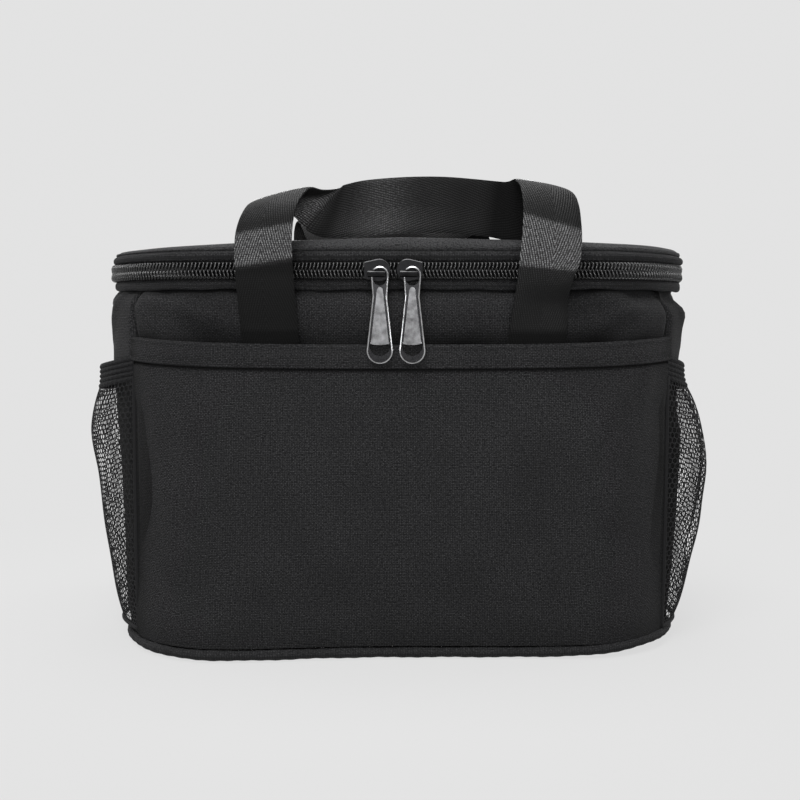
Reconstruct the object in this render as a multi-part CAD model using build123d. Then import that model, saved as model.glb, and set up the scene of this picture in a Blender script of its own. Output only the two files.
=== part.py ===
from build123d import *
import math
import os

# Soft box-shaped cooler bag, sizes in millimetres.
# Origin on the floor under the middle of the bag, +Z up, front towards -Y.

# ---- plan and heights of the body
body_width = 275.0        # over the outer faces of the side panels
body_depth = 166.0        # over the outer faces of the front and back panels
corner_radius = 56.0      # plan radius at the panels' outer face
wall_top = 165.3          # top edge of the upright panels
seam_angle = 45.0         # upright seams, degrees round each corner from the front or back
layer_gap = 0.2           # clearance between two curved layers
skin = 1.0                # coated woven shell
wall_foam = 6.0           # foam in the four walls
base_foam = 6.0           # foam under the liner
liner = 0.6               # inner lining
bottom_skin = 1.0         # shell cloth under the base
piping_radius = 2.3       # cord sewn round the bottom edge
piping_lift = 0.2         # the piping hangs this far above the floor
fit_gap = 0.3             # clearance between neighbours that move or that curve

# ---- band, zip and lid, stacked upwards from the panels' top edge
rim_band_height = 4.2     # rolled cloth strip between body and zip
rim_band_proud = 1.2
band_depth = 2.7          # how far the two rolled strips reach inwards from the wall face
band_round = 1.0          # edge radius of the rolled strips
chain_height = 3.1        # one half of the closed zip's coil
chain_depth = 2.4
chain_split = 1.1         # between the two halves
chain_proud = 3.5         # the coil's outer face beyond the wall face
tape = 0.6
tape_margin = 0.3         # tape beyond the coil, above and below
lid_band_height = 4.5
lid_band_proud = 2.5
lid_height = 6.2          # padded top above the lid band
lid_proud = 0.8
lid_round = 3.2           # rolled edge of the lid's top
lid_skin = 1.0
lid_foam = 7.5
lid_liner = 0.6
lid_inset = 1.6           # the lid's filling lies this far inside the wall face
hinge_cloth = 1.0
hinge_axis_proud = 4.0    # the lid's turning line beyond the wall face

# ---- front pocket and mesh pockets
pocket_gap = 4.6          # inside the front pocket, front to back
pocket_base = 5.4         # lowest edge of the pockets above the floor
pocket_top = 130.0        # where the front pocket's hem starts
hem_height = 10.0
hem_thickness = 2.3
pocket_turn = 11.5        # the pocket starts to curve this far before the wall's corner
mesh = 1.0
mesh_floor = 1.0
mesh_turn = 7.0           # a side pocket starts to curve this far before the corner
mesh_base_bulge = 3.0     # side pocket beyond the side panel at its lower edge
mesh_bulge = 17.0         # and where it is widest
mesh_widest = 92.0        # height of the widest place
mesh_top = 116.0          # where the elastic starts
elastic_height = 11.5
elastic_thickness = 1.6
left_mouth = 11.0         # clear gap between side panel and elastic
right_mouth = 7.0

# ---- carrying handles
strap_width = 25.4
strap_thickness = 2.0
strap_inset = 11.0        # each strap's middle inside the end of the pocket's straight front
sewn_low = 96.0           # lower end of the sewn webbing
sewn_high = 142.0         # where the webbing leaves the bag
front_lean = 3.2          # the free webbing starts this far out from the sewn webbing
back_lean = 2.5
pivot_rise = 3.5          # and this far above it
strap_stand = 13.5        # upright part of the loop beyond the wall face
strap_shoulder = 30.0     # height over which the strap leans out
grip_gap = 4.7            # between the lid and the grip
loop_back = 20.5          # the grip lies this far behind the straps
loop_round = 9.5
grip_drop = 24.2          # the grip's lower edge below the top of the loop
webbing_gap = 0.5         # between the sewn webbing and the free webbing

# ---- sliders and pulls
slider_length = 11.8
slider_nose = 5.1         # half height at the wide end
slider_tail = 3.7         # half height at the narrow end
slider_end = 1.0          # straight stretch at the narrow end
slider_plate = 1.2
slider_back = 0.8
slider_web = 0.5          # web that runs between the two halves of the coil
slider_gap = 0.4          # plates to coil and tape
left_slider_place = -9.2
right_slider_place = 5.1
slider_stop = 3.5         # the sliders stop this far short of the corner's curve
bridge_stand = 3.8        # bridge axis in front of the slider's plate
bridge_radius = 1.25
bridge_drop = 1.5         # bridge axis below the middle of the zip
bridge_reach = 2.3        # free end beyond the eye's middle
eye_offset = 1.2          # eye's middle beside the slider's middle
post_width = 1.3
eye_outer = 3.85
eye_inner = 2.95
eye_drop = 0.7            # eye's middle below the bridge
eye_length = 5.4          # the eye's slot reaches this far below the bridge
eye_gate = 1.7            # half opening at the bridge
pull_thickness = 2.0
neck_drop = 10.3
neck_half = 3.1
pull_half = 5.7           # half width of the wide end
pull_length = 39.8
window_drop = 30.6        # top of the finger window
window_rim = 1.1
window_foot = 3.5         # metal below the window
metal_edge = 0.5          # chamfer of the pull's outer edges
slider_edge = 0.35        # and of the slider's front
plate_drop = 7.4          # middle of the plate's rounded top below the bridge
plate_top_half = 1.3      # half width of the satin plate at its top
plate_low_half = 4.3      # and at its wide end
plate_sag = 0.9           # its lower edge bows into the window
plate_groove = 0.35       # open groove round the plate
plate_recess = 0.5
plate_thickness = 0.4
plate_fit = 0.05          # between the plate and the floor of its recess

# ---- derived places
half_width = body_width / 2
half_depth = body_depth / 2
straight_x = half_width - corner_radius
straight_y = half_depth - corner_radius
pocket_flat = straight_x - pocket_turn
mesh_flat = straight_y - mesh_turn
strap_place = pocket_flat - strap_inset
rim_low = wall_top
zip_low = rim_low + rim_band_height
chain_low = zip_low + tape_margin
split_low = chain_low + chain_height
split_high = split_low + chain_split
chain_high = split_high + chain_height
lid_low = chain_high + tape_margin
lid_top_low = lid_low + lid_band_height
lid_top = lid_top_low + lid_height
grip_low = lid_top + grip_gap
loop_top = grip_low + grip_drop
zip_middle = (split_low + split_high) / 2
tape_face = chain_proud - chain_depth
piping_middle = piping_lift + piping_radius
base_inset = piping_radius + fit_gap
base_foam_low = bottom_skin + layer_gap
base_foam_high = base_foam_low + base_foam
wall_low = base_foam_high + layer_gap
foam_face = skin + layer_gap
liner_face = foam_face + wall_foam + layer_gap
panel_low = piping_middle + piping_radius + layer_gap
front_face = -half_depth
pivot_z = sewn_high + pivot_rise
chain_front = front_face - chain_proud
plate_face = chain_front - slider_gap - slider_plate
bridge_y = plate_face - bridge_stand
bridge_z = zip_middle - bridge_drop
far = body_width


def outline(out, height=0.0):
    """The bag's plan, moved outwards from the panels' outer face."""
    plan = RectangleRounded(body_width + 2 * out, body_depth + 2 * out, corner_radius + out)
    return Pos(0, 0, height) * plan


def plate(out, low, high):
    """Flat sheet or block with the bag's plan."""
    return extrude(outline(out, low), high - low)


def ring(outer, inner, low, high):
    """Upright wall all round between two offsets of the plan."""
    return plate(outer, low, high) - plate(inner, low, high)


def rolled(solid, radius):
    """Rounds the outer edges of a ring or plate, top and bottom."""
    faces = solid.faces().sort_by(Axis.Z)
    edges = faces[0].outer_wire().edges() + faces[-1].outer_wire().edges()
    return fillet(edges, radius)


def prism(points, low, high):
    return extrude(make_face(Pos(0, 0, low) * Polyline(*points, close=True)), high - low)


def seam_reach(side_x, side_y):
    """Point far out along an upright seam, from that corner's centre."""
    angle = math.radians(seam_angle)
    x = side_x * (straight_x + far * math.sin(angle))
    y = side_y * (straight_y + far * math.cos(angle))
    return (x, y)


def front_sector(side):
    """Prism that cuts the front (side -1) or back (+1) panel out of a ring."""
    left = (-straight_x, side * straight_y)
    right = (straight_x, side * straight_y)
    return prism([left, seam_reach(-1, side), seam_reach(1, side), right], 0, lid_top)


def side_sector(side):
    """Prism that cuts the left (side -1) or right (+1) panel and its corners out of a ring."""
    front = (side * straight_x, -straight_y)
    back = (side * straight_x, straight_y)
    return prism([front, seam_reach(side, -1), seam_reach(side, 1), back], 0, lid_top)


def zip_run(solid):
    """Keeps the part of a ring that the zip covers: all but the straight back."""
    back = Pos(0, half_depth, lid_top / 2) * Box(2 * straight_x, 2 * corner_radius, lid_top)
    return solid - back


def seam_point(out):
    """Point on an upright seam, moved outwards from the wall face."""
    angle = math.radians(seam_angle)
    reach = corner_radius + out
    return (straight_x + reach * math.sin(angle), straight_y + reach * math.cos(angle))


def bulge(flat, front, x, y):
    """Plan of a pocket seen from its front: a flat stretch, and an arc to the seam at each end."""
    run = x - flat
    drop = front - y
    radius = (run * run + drop * drop) / (2 * drop)
    turn = math.atan2(run, radius - drop) / 2
    mid_x = flat + radius * math.sin(turn)
    mid_y = front - radius * (1 - math.cos(turn))
    right = ThreePointArc((flat, -front), (mid_x, -mid_y), (x, -y))
    left = ThreePointArc((-x, -y), (-mid_x, -mid_y), (-flat, -front))
    return make_face([Line((-flat, -front), (flat, -front)), right, Line((x, -y), (-x, -y)), left])


def front_bulge(stand, out, height):
    x, y = seam_point(out)
    return Pos(0, 0, height) * bulge(pocket_flat, half_depth + stand, x, y)


def side_bulge(side, stand, out, height):
    x, y = seam_point(out)
    return Pos(0, 0, height) * Rot(0, 0, side * 90) * bulge(mesh_flat, half_width + stand, y, x)


# ---- body shell, filling and lining
bottom_panel = plate(-base_inset, 0, bottom_skin)
foam_base = plate(-base_inset, base_foam_low, base_foam_high)
skin_ring = ring(0, -skin, panel_low, wall_top)
foam_ring = ring(-foam_face, -foam_face - wall_foam, wall_low, wall_top)
front_panel = skin_ring & front_sector(-1)
back_panel = skin_ring & front_sector(1)
left_side_panel = skin_ring & side_sector(-1)
right_side_panel = skin_ring & side_sector(1)
foam_front = foam_ring & front_sector(-1)
foam_back = foam_ring & front_sector(1)
foam_left = foam_ring & side_sector(-1)
foam_right = foam_ring & side_sector(1)
liner_inside = plate(-liner_face - liner, wall_low + liner, wall_top)
liner_tub = plate(-liner_face, wall_low, wall_top) - liner_inside
piping_path = outline(0, piping_middle).face().outer_wire()
piping_start = Plane(origin=piping_path @ 0, z_dir=piping_path % 0)
bottom_piping = sweep(piping_start * Circle(piping_radius), path=piping_path)

# ---- band, zip halves and hinge cloth
rim_band = rolled(ring(rim_band_proud, -band_depth, rim_low, zip_low), band_round)
lower_zip_tape = zip_run(ring(tape_face, tape_face - tape, zip_low, split_low))
lower_zip_coil = zip_run(ring(chain_proud, tape_face, chain_low, split_low))
upper_zip_tape = zip_run(ring(tape_face, tape_face - tape, split_high, lid_low))
upper_zip_coil = zip_run(ring(chain_proud, tape_face, split_high, chain_high))
hinge_width = 2 * (straight_x - fit_gap)
hinge_middle = (zip_low + lid_low) / 2
hinge_size = (hinge_width, hinge_cloth, lid_low - zip_low - fit_gap)
hinge_strip = Pos(0, half_depth, hinge_middle - fit_gap / 2) * Box(*hinge_size)

# ---- lid
lid_side_band = rolled(ring(lid_band_proud, -band_depth, lid_low, lid_top_low), band_round)
lid_shell = rolled(plate(lid_proud, lid_top_low, lid_top), min(lid_round, 0.45 * lid_height))
lid_hollow = plate(-lid_inset + layer_gap, lid_low, lid_top - lid_skin)
lid_top_panel = lid_shell - lid_hollow
lid_fill_inset = max(lid_inset, band_depth + layer_gap)
lid_foam_high = lid_top - lid_skin - layer_gap
lid_foam_low = lid_foam_high - lid_foam
lid_foam_pad = plate(-lid_fill_inset, lid_foam_low, lid_foam_high)
lid_liner_high = lid_foam_low - layer_gap
lid_liner_sheet = plate(-lid_fill_inset, lid_liner_high - lid_liner, lid_liner_high)

# ---- front pocket
wall_block = plate(0, 0, lid_top)
pocket_low_face = front_bulge(pocket_gap + skin, skin, pocket_base)
pocket_inner_face = front_bulge(pocket_gap, 0, pocket_base)
pocket_height = pocket_top - pocket_base
pocket_floor = extrude(pocket_low_face, skin)
pocket_wall = extrude(pocket_low_face, pocket_height) - extrude(pocket_inner_face, pocket_height)
front_pocket = pocket_wall + pocket_floor - wall_block
hem_outer = front_bulge(pocket_gap + hem_thickness, hem_thickness, pocket_top)
hem_inner = front_bulge(pocket_gap, 0, pocket_top)
front_pocket_hem = extrude(hem_outer, hem_height) - extrude(hem_inner, hem_height) - wall_block


# ---- side pockets of net, with an elastic top edge
def pocket_block(side, mouth, out):
    """Solid side pocket between its base and the elastic, wall thickness out."""
    base = side_bulge(side, mesh_base_bulge + out, out, pocket_base)
    widest = side_bulge(side, mesh_bulge + out, out, mesh_widest)
    top = side_bulge(side, mouth + elastic_thickness - mesh + out, out, mesh_top)
    return loft([base, widest], ruled=True) + loft([widest, top], ruled=True)


def mesh_pocket(side, mouth):
    outer = pocket_block(side, mouth, mesh)
    base = side_bulge(side, mesh_base_bulge + mesh, mesh, pocket_base)
    floor = extrude(base, mesh_floor) & outer
    return outer - pocket_block(side, mouth, 0) + floor - wall_block


def pocket_elastic(side, mouth):
    outer = side_bulge(side, mouth + elastic_thickness, elastic_thickness, mesh_top)
    inner = side_bulge(side, mouth, 0, mesh_top)
    return extrude(outer, elastic_height) - extrude(inner, elastic_height) - wall_block


left_mesh_pocket = mesh_pocket(-1, left_mouth)
right_mesh_pocket = mesh_pocket(1, right_mouth)
left_pocket_elastic = pocket_elastic(-1, left_mouth)
right_pocket_elastic = pocket_elastic(1, right_mouth)


# ---- webbing handles
def ribbon(points, radii, middle, width):
    """Webbing along a path in the YZ plane, `width` wide along X."""
    path = FilletPolyline(*points, radius=radii) if radii else Polyline(*points)
    section = Plane.YZ * trace(path, line_width=strap_thickness)
    return Pos(middle - width / 2, 0, 0) * extrude(section, width, dir=(1, 0, 0))


def sewn_ends(side, sewn_y, pivot_y):
    """Both sewn ends of one handle, up to the line where it starts to swing."""
    free_end = (side * pivot_y, pivot_z - webbing_gap)
    points = [(side * sewn_y, sewn_low), (side * sewn_y, sewn_high), free_end]
    left = ribbon(points, [pivot_rise / 2], -strap_place, strap_width)
    right = ribbon(points, [pivot_rise / 2], strap_place, strap_width)
    return left + right


def handle(side, pivot_y):
    """Free webbing of one handle: two straps that arch over to a grip."""
    stand = half_depth + strap_stand
    grip = stand - loop_back
    points = [
        (side * pivot_y, pivot_z + webbing_gap),
        (side * stand, pivot_z + strap_shoulder),
        (side * stand, loop_top),
        (side * grip, loop_top),
        (side * grip, grip_low),
    ]
    radii = [strap_shoulder / 2, loop_round, loop_round]
    left = ribbon(points, radii, -strap_place, strap_width)
    right = ribbon(points, radii, strap_place, strap_width)
    flat = Box(2 * strap_place, strap_thickness, strap_width)
    band = Pos(0, side * grip, grip_low + strap_width / 2) * flat
    return left + right + band


front_sewn = half_depth + pocket_gap - fit_gap - strap_thickness / 2
back_sewn = half_depth + strap_thickness / 2
front_pivot = front_sewn + front_lean
back_pivot = back_sewn + back_lean
front_handle_ends = sewn_ends(-1, front_sewn, front_pivot)
back_handle_ends = sewn_ends(1, back_sewn, back_pivot)
front_handle = handle(-1, front_pivot)
back_handle = handle(1, back_pivot)


# ---- zip sliders and pulls
def upright(face, front, thickness):
    """Extrudes a face drawn in X and Z back from the plane y = front."""
    stood = Pos(0, front, 0) * Rot(90, 0, 0) * face
    return Pos(0, thickness, 0) * extrude(stood, thickness, dir=(0, -1, 0))


def slider_face(side):
    """Outline of a slider plate, its wide end towards the bag's middle."""
    nose = Pos(-side * (slider_length / 2 - slider_nose), 0) * Circle(slider_nose)
    tail_x = side * (slider_length - slider_end) / 2
    tail = Pos(tail_x, 0) * Rectangle(slider_end, 2 * slider_tail)
    return make_hull(nose.edges() + tail.edges())


def slider(side, place):
    """Slider body with two plates, the web between them, and the bridge that holds the pull."""
    face = Pos(place, zip_middle) * slider_face(side)
    front = upright(face, plate_face, slider_plate)
    front_edges = front.faces().sort_by(Axis.Y)[0].outer_wire().edges()
    front = chamfer(front_edges, slider_edge)
    inner_face = front_face - tape_face + tape + slider_gap
    behind = Pos(place, zip_middle) * Rectangle(slider_length, 2 * slider_tail)
    back = upright(behind, inner_face, slider_back)
    web_y = (plate_face + inner_face) / 2 + slider_plate / 2
    web_size = (slider_length / 2, inner_face - plate_face, slider_web)
    web = Pos(place - side * slider_length / 4, web_y, zip_middle) * Box(*web_size)
    eye_x = place + eye_offset
    post_x = eye_x - eye_outer - fit_gap - post_width
    bridge_length = eye_x + bridge_reach - post_x
    bar = Rot(0, 90, 0) * Cylinder(bridge_radius, bridge_length)
    bridge = Pos(post_x + bridge_length / 2, bridge_y, bridge_z) * bar
    post_back = plate_face + slider_plate / 2
    post_size = (post_width, post_back - bridge_y, 2 * bridge_radius)
    post = Pos(post_x + post_width / 2, (bridge_y + post_back) / 2, bridge_z) * Box(*post_size)
    return front + back + web + bridge + post


def pull_outline():
    """Outline of the pull below its eye."""
    end = Pos(0, -pull_length + pull_half) * Circle(pull_half)
    neck = Pos(0, -neck_drop) * Circle(neck_half)
    return make_hull(end.edges() + neck.edges())


def pull_window():
    """The finger window, flat on top, and all that lies below its upper edge."""
    reach = pull_half - window_rim
    round_part = Pos(0, -pull_length + window_foot + reach) * Circle(reach)
    below = Pos(0, -window_drop - pull_length / 2) * Rectangle(4 * pull_half, pull_length)
    return round_part & below, below


def plate_field(grow):
    """Tapered field between the eye and the window, its outline moved outwards by grow."""
    top = Pos(0, -plate_drop) * Circle(plate_top_half + grow)
    end = Pos(0, -pull_length + pull_half) * Circle(plate_low_half + grow)
    sag = Pos(0, -window_drop) * Ellipse(plate_low_half + grow, plate_sag)
    return make_hull(top.edges() + end.edges()) - pull_window()[1] + sag


def chamfered(solid, width):
    """Breaks the outer edges of a flat metal piece, front and back."""
    faces = solid.faces().sort_by(Axis.Y)
    return chamfer(faces[0].outer_wire().edges() + faces[-1].outer_wire().edges(), width)


def pull_frame(place):
    """Metal frame of a pull, its eye open at the side towards the bridge's post."""
    eye = Pos(0, -eye_drop) * Circle(eye_outer)
    neck = Pos(0, -neck_drop) * Circle(neck_half)
    shank = make_hull(eye.edges() + neck.edges())
    slot_top = Pos(0, -eye_drop) * Circle(eye_inner)
    slot_end = Pos(0, -eye_length + eye_inner) * Circle(eye_inner)
    slot = make_hull(slot_top.edges() + slot_end.edges())
    gate = Pos(-eye_outer / 2 - eye_inner / 2, 0) * Rectangle(eye_outer, 2 * eye_gate)
    blank = upright(shank + pull_outline(), -pull_thickness / 2, pull_thickness)
    openings = upright(slot + pull_window()[0] + gate, -pull_thickness, 2 * pull_thickness)
    field = plate_field(plate_groove)
    recess = upright(field, -pull_thickness / 2, plate_recess)
    behind = upright(field, pull_thickness / 2 - plate_recess, plate_recess)
    body = chamfered(blank, metal_edge) - openings - recess - behind
    return Pos(place + eye_offset, bridge_y, bridge_z) * body


def pull_inlay(place):
    """Satin plates set in the front and the back of a pull."""
    face = plate_field(0)
    floor = pull_thickness / 2 - plate_recess + plate_fit
    front = upright(face, -floor - plate_thickness, plate_thickness)
    back = upright(face, floor, plate_thickness)
    return Pos(place + eye_offset, bridge_y, bridge_z) * (front + back)


nodes = {
    "bottom_panel": bottom_panel,
    "front_panel": front_panel,
    "back_panel": back_panel,
    "left_side_panel": left_side_panel,
    "right_side_panel": right_side_panel,
    "foam_base": foam_base,
    "foam_front": foam_front,
    "foam_back": foam_back,
    "foam_left": foam_left,
    "foam_right": foam_right,
    "liner_tub": liner_tub,
    "bottom_piping": bottom_piping,
    "rim_band": rim_band,
    "lower_zip_tape": lower_zip_tape,
    "lower_zip_coil": lower_zip_coil,
    "upper_zip_tape": upper_zip_tape,
    "upper_zip_coil": upper_zip_coil,
    "hinge_strip": hinge_strip,
    "lid_side_band": lid_side_band,
    "lid_top_panel": lid_top_panel,
    "lid_foam": lid_foam_pad,
    "lid_liner": lid_liner_sheet,
    "front_pocket": front_pocket,
    "front_pocket_hem": front_pocket_hem,
    "left_mesh_pocket": left_mesh_pocket,
    "right_mesh_pocket": right_mesh_pocket,
    "left_pocket_elastic": left_pocket_elastic,
    "right_pocket_elastic": right_pocket_elastic,
    "front_handle_ends": front_handle_ends,
    "back_handle_ends": back_handle_ends,
    "front_handle": front_handle,
    "back_handle": back_handle,
    "left_slider": slider(-1, left_slider_place),
    "right_slider": slider(1, right_slider_place),
    "left_pull": pull_frame(left_slider_place),
    "right_pull": pull_frame(right_slider_place),
    "left_pull_inlay": pull_inlay(left_slider_place),
    "right_pull_inlay": pull_inlay(right_slider_place),
}

os.makedirs("parts", exist_ok=True)
for name, solid in nodes.items():
    export_step(solid, os.path.join("parts", name + ".step"))
last_place = straight_x - slider_stop
print("slider travel", last_place + left_slider_place, last_place - right_slider_place)
print("lid axis", half_depth + hinge_axis_proud, zip_middle)
fold_face = strap_thickness / 2
print("handle pivots", front_pivot + fold_face, back_pivot + fold_face, pivot_z)
print("bridge", bridge_y, bridge_z)
print("heights", zip_low, split_low, split_high, lid_low, lid_top_low, lid_top)
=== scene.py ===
"""Insulated cooler bag: cloth, net, webbing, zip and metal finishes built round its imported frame."""

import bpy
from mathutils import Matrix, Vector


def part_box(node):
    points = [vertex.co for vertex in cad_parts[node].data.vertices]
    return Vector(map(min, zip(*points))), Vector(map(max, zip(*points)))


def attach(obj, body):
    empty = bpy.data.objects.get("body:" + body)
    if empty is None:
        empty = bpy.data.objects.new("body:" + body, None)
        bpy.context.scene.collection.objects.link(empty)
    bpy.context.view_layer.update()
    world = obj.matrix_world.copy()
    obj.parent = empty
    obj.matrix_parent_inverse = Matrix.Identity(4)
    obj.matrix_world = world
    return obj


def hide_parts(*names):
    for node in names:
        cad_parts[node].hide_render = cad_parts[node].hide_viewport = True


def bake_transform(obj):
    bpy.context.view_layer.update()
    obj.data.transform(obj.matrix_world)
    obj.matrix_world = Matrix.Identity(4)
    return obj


bl_info = {
    "name": "Cooler Bag Finishes",
    "version": (1, 0, 0),
    "blender": (4, 5, 0),
    "location": "3D View > Sidebar > Bag",
    "description": "Builds the soft pieces, zip, net pockets and webbing of an insulated bag",
    "category": "Object",
}

import math

import bmesh
import bpy
import numpy as np

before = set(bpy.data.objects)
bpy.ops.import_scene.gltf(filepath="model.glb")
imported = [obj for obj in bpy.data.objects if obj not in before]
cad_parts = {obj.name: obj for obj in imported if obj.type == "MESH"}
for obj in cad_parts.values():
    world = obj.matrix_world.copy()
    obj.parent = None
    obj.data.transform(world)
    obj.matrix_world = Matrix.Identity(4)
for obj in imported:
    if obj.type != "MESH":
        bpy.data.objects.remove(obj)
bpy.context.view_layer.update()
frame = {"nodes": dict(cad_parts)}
MM = 0.001  # places and lengths are worked out in millimetres, and this turns them into metres


# ---------------------------------------------------------------- sizes read from the frame
def box_mm(node):
    low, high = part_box(node)
    return np.array(low) / MM, np.array(high) / MM


def z_range(node):
    """Lowest and highest z of a node."""
    low, high = box_mm(node)
    return low[2], high[2]


half_width = -box_mm("left_side_panel")[0][0]
half_depth = -box_mm("front_panel")[0][1]


def reach_out(node):
    """How far a node stands out from the ends of the plan."""
    return -box_mm(node)[0][0] - half_width


wall_low, wall_high = z_range("front_panel")
rim_low, rim_high = z_range("rim_band")
rim_out = reach_out("rim_band")
band_low, band_high = z_range("lid_side_band")
band_out = reach_out("lid_side_band")
lid_high = z_range("lid_top_panel")[1]
coil_low, coil_split = z_range("lower_zip_coil")
coil_join, coil_high = z_range("upper_zip_coil")
coil_out = reach_out("lower_zip_coil")
coil_middle = (coil_split + coil_join) / 2
hem_low, hem_high = z_range("front_pocket_hem")
pocket_low = z_range("front_pocket")[0]
elastic_low, elastic_high = z_range("left_pocket_elastic")

CORNER = 56.0  # radius of the plan's corners
SEAM_SHIFT = 5.0  # how much further round its corner the front's right seam lies
straight_x = half_width - CORNER
straight_y = half_depth - CORNER
quarter = math.pi / 2 * CORNER
side_run = straight_x + quarter  # where the straight end starts
back_corner_run = side_run + 2 * straight_y
back_run = back_corner_run + quarter  # where the straight back starts
half_run = back_run + straight_x
front_seam = straight_x + quarter / 2
right_seam = front_seam + SEAM_SHIFT
back_seam = back_corner_run + quarter / 2


# ---------------------------------------------------------------- properties
def length(name, description, default, low, high):
    """Length property of the sidebar, in metres."""
    return bpy.props.FloatProperty(
        name=name, description=description, default=default, min=low, max=high, unit="LENGTH", precision=4
    )


def colour(name, description, default):
    """Colour property of the sidebar."""
    return bpy.props.FloatVectorProperty(name=name, description=description, default=default, subtype="COLOR")


class BagSizes(bpy.types.PropertyGroup):
    lid_crown: length("Lid crown", "Rise of the padded lid at its middle", 0.003, 0, 0.008)
    net_pitch: length("Net pitch", "Distance between the holes of the net", 0.0025, 0.0012, 0.006)
    tooth_pitch: length("Tooth pitch", "Distance between two teeth of one zip row", 0.0017, 0.001, 0.003)
    webbing_width: length("Webbing width", "Width of the handle webbing", 0.0254, 0.015, 0.04)
    webbing_thickness: length("Webbing thickness", "Thickness of the handle webbing", 0.0017, 0.0008, 0.003)
    stitch_length: length("Stitch length", "Length of one sewn stitch", 0.0026, 0.001, 0.005)
    wall_fullness: length("Wall fullness", "Bulge of the padded walls", 0.0022, 0, 0.005)


class BagColours(bpy.types.PropertyGroup):
    cloth: colour("Cloth", "Dark yarn of the outer cloth", (0.005, 0.005, 0.0054))
    fleck: colour("Fleck", "Paler yarn in the outer cloth", (0.048, 0.048, 0.0495))
    webbing: colour("Webbing", "Handle webbing", (0.011, 0.011, 0.0115))
    net: colour("Net", "Net of the end pockets", (0.007, 0.007, 0.0075))
    coil: colour("Zip coil", "Nylon of the zip", (0.005, 0.005, 0.0053))
    foil: colour("Lining", "Silver lining", (0.37, 0.375, 0.39))
    foam: colour("Foam", "Insulating foam", (0.78, 0.78, 0.76))
    metal: colour("Dark metal", "Sliders and pull frames", (0.009, 0.009, 0.0095))
    inlay: colour("Satin inlay", "Plate in each pull", (0.105, 0.105, 0.108))
    # painted highlight: bright metal given to the slanting faces of the sliders and pulls
    edge: colour("Polished edge", "Painted highlight on the edges of the dark metal", (0.86, 0.86, 0.87))
    backdrop: colour("Backdrop", "Floor and background", (0.766, 0.766, 0.766))


def colours():
    return bpy.context.scene.bag_colours


def size(name):
    """One size of the sidebar, in millimetres."""
    return getattr(bpy.context.scene.bag_sizes, name) / MM


# ---------------------------------------------------------------- curves and plans
def curve(at, xs, ys):
    """Smooth line through the points (xs, ys), read at every value of at."""
    xs, ys, at = np.asarray(xs, float), np.asarray(ys, float), np.asarray(at, float)
    slope = np.gradient(ys, xs)
    at = np.clip(at, xs[0], xs[-1])
    k = np.clip(np.searchsorted(xs, at) - 1, 0, len(xs) - 2)
    step = xs[k + 1] - xs[k]
    t = (at - xs[k]) / step
    a = (1 + 2 * t) * (1 - t) ** 2 * ys[k] + t * (1 - t) ** 2 * step * slope[k]
    return a + t * t * (3 - 2 * t) * ys[k + 1] + t * t * (t - 1) * step * slope[k + 1]


def hump(value, middle, width):
    """1 at the middle, falling off softly to nothing some widths away."""
    return np.exp(-(((value - middle) / width) ** 2))


def fade(value):
    """The value held between 0 and 1."""
    return np.clip(value, 0, 1)


def points_of(*parts):
    """Numbers or arrays that fit together, joined in a last axis."""
    return np.stack(np.broadcast_arrays(*parts), -1)


def plan(run, out=0.0):
    """x and y on the bag's plan, moved outwards by out. A run starts in the middle of the front and goes
    round to the middle of the back, to the right above 0 and to the left below."""
    run, out = np.broadcast_arrays(np.asarray(run, float), np.asarray(out, float))
    r = np.abs(run)
    front_turn = np.clip((r - straight_x) / CORNER, 0, math.pi / 2)
    back_turn = np.clip((r - back_corner_run) / CORNER, 0, math.pi / 2)
    turn = front_turn + back_turn
    nx, ny = np.sin(turn), -np.cos(turn)
    along_front = np.clip(r, 0, straight_x)
    along_back = np.clip(r - back_run, 0, straight_x)
    along_side = np.clip(r - side_run, 0, 2 * straight_y)
    x = along_front - along_back + (CORNER + out) * nx
    y = -straight_y + along_side + (CORNER + out) * ny
    return np.where(run < 0, -x, x), y


def outward(run):
    """x and y of the unit vector that points out of the plan."""
    (far_x, far_y), (x, y) = plan(run, 1.0), plan(run, 0.0)
    return far_x - x, far_y - y


# How far the walls draw in at each height.
BASE_TAPER = ([0, 8, 30, 70, 112, 166], [-6.4, -6.0, -4.0, -1.4, 0, 0])
FRONT_TAPER = 0.05  # share of it that the front and the back have
FULL_FOOT = (-76, 40)  # run and width of the part of the front that stands out at the base
FULL_OUT = 6.0
FULL_TOP = 45  # height where it has faded out
LEFT_TUCK = 2.0  # how far the left end is drawn in further at the floor
TUCK_TOP = 16


def lean(z, run=None):
    """The walls draw in towards the base, the ends more than the front and the back."""
    drawn = curve(z, *BASE_TAPER)
    if run is None:
        return drawn
    facing = np.abs(outward(run)[0])
    z = np.asarray(z)
    fuller = FULL_OUT * hump(run, *FULL_FOOT) * fade(1 - z / FULL_TOP)
    tucked = np.where(run < 0, LEFT_TUCK, 0.0) * fade(1 - z / TUCK_TOP) * facing**2
    return drawn * (FRONT_TAPER + (1 - FRONT_TAPER) * facing**3) + fuller - tucked


def ridges(u, v, lines):
    """Sum of soft ridges. Each line is (u0, v0, u1, v1, width, height)."""
    total = np.zeros(np.broadcast(u, v).shape)
    for u0, v0, u1, v1, width, height in lines:
        du, dv = u1 - u0, v1 - v0
        reach = math.hypot(du, dv)
        along = ((u - u0) * du + (v - v0) * dv) / reach
        across = ((u - u0) * dv - (v - v0) * du) / reach
        beyond = np.maximum(0, np.maximum(-along, along - reach))
        total = total + height * np.exp(-((across / width) ** 2) - (beyond / (2 * width)) ** 2)
    return total


WAVES = 9  # waves that make up one unevenness


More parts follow.
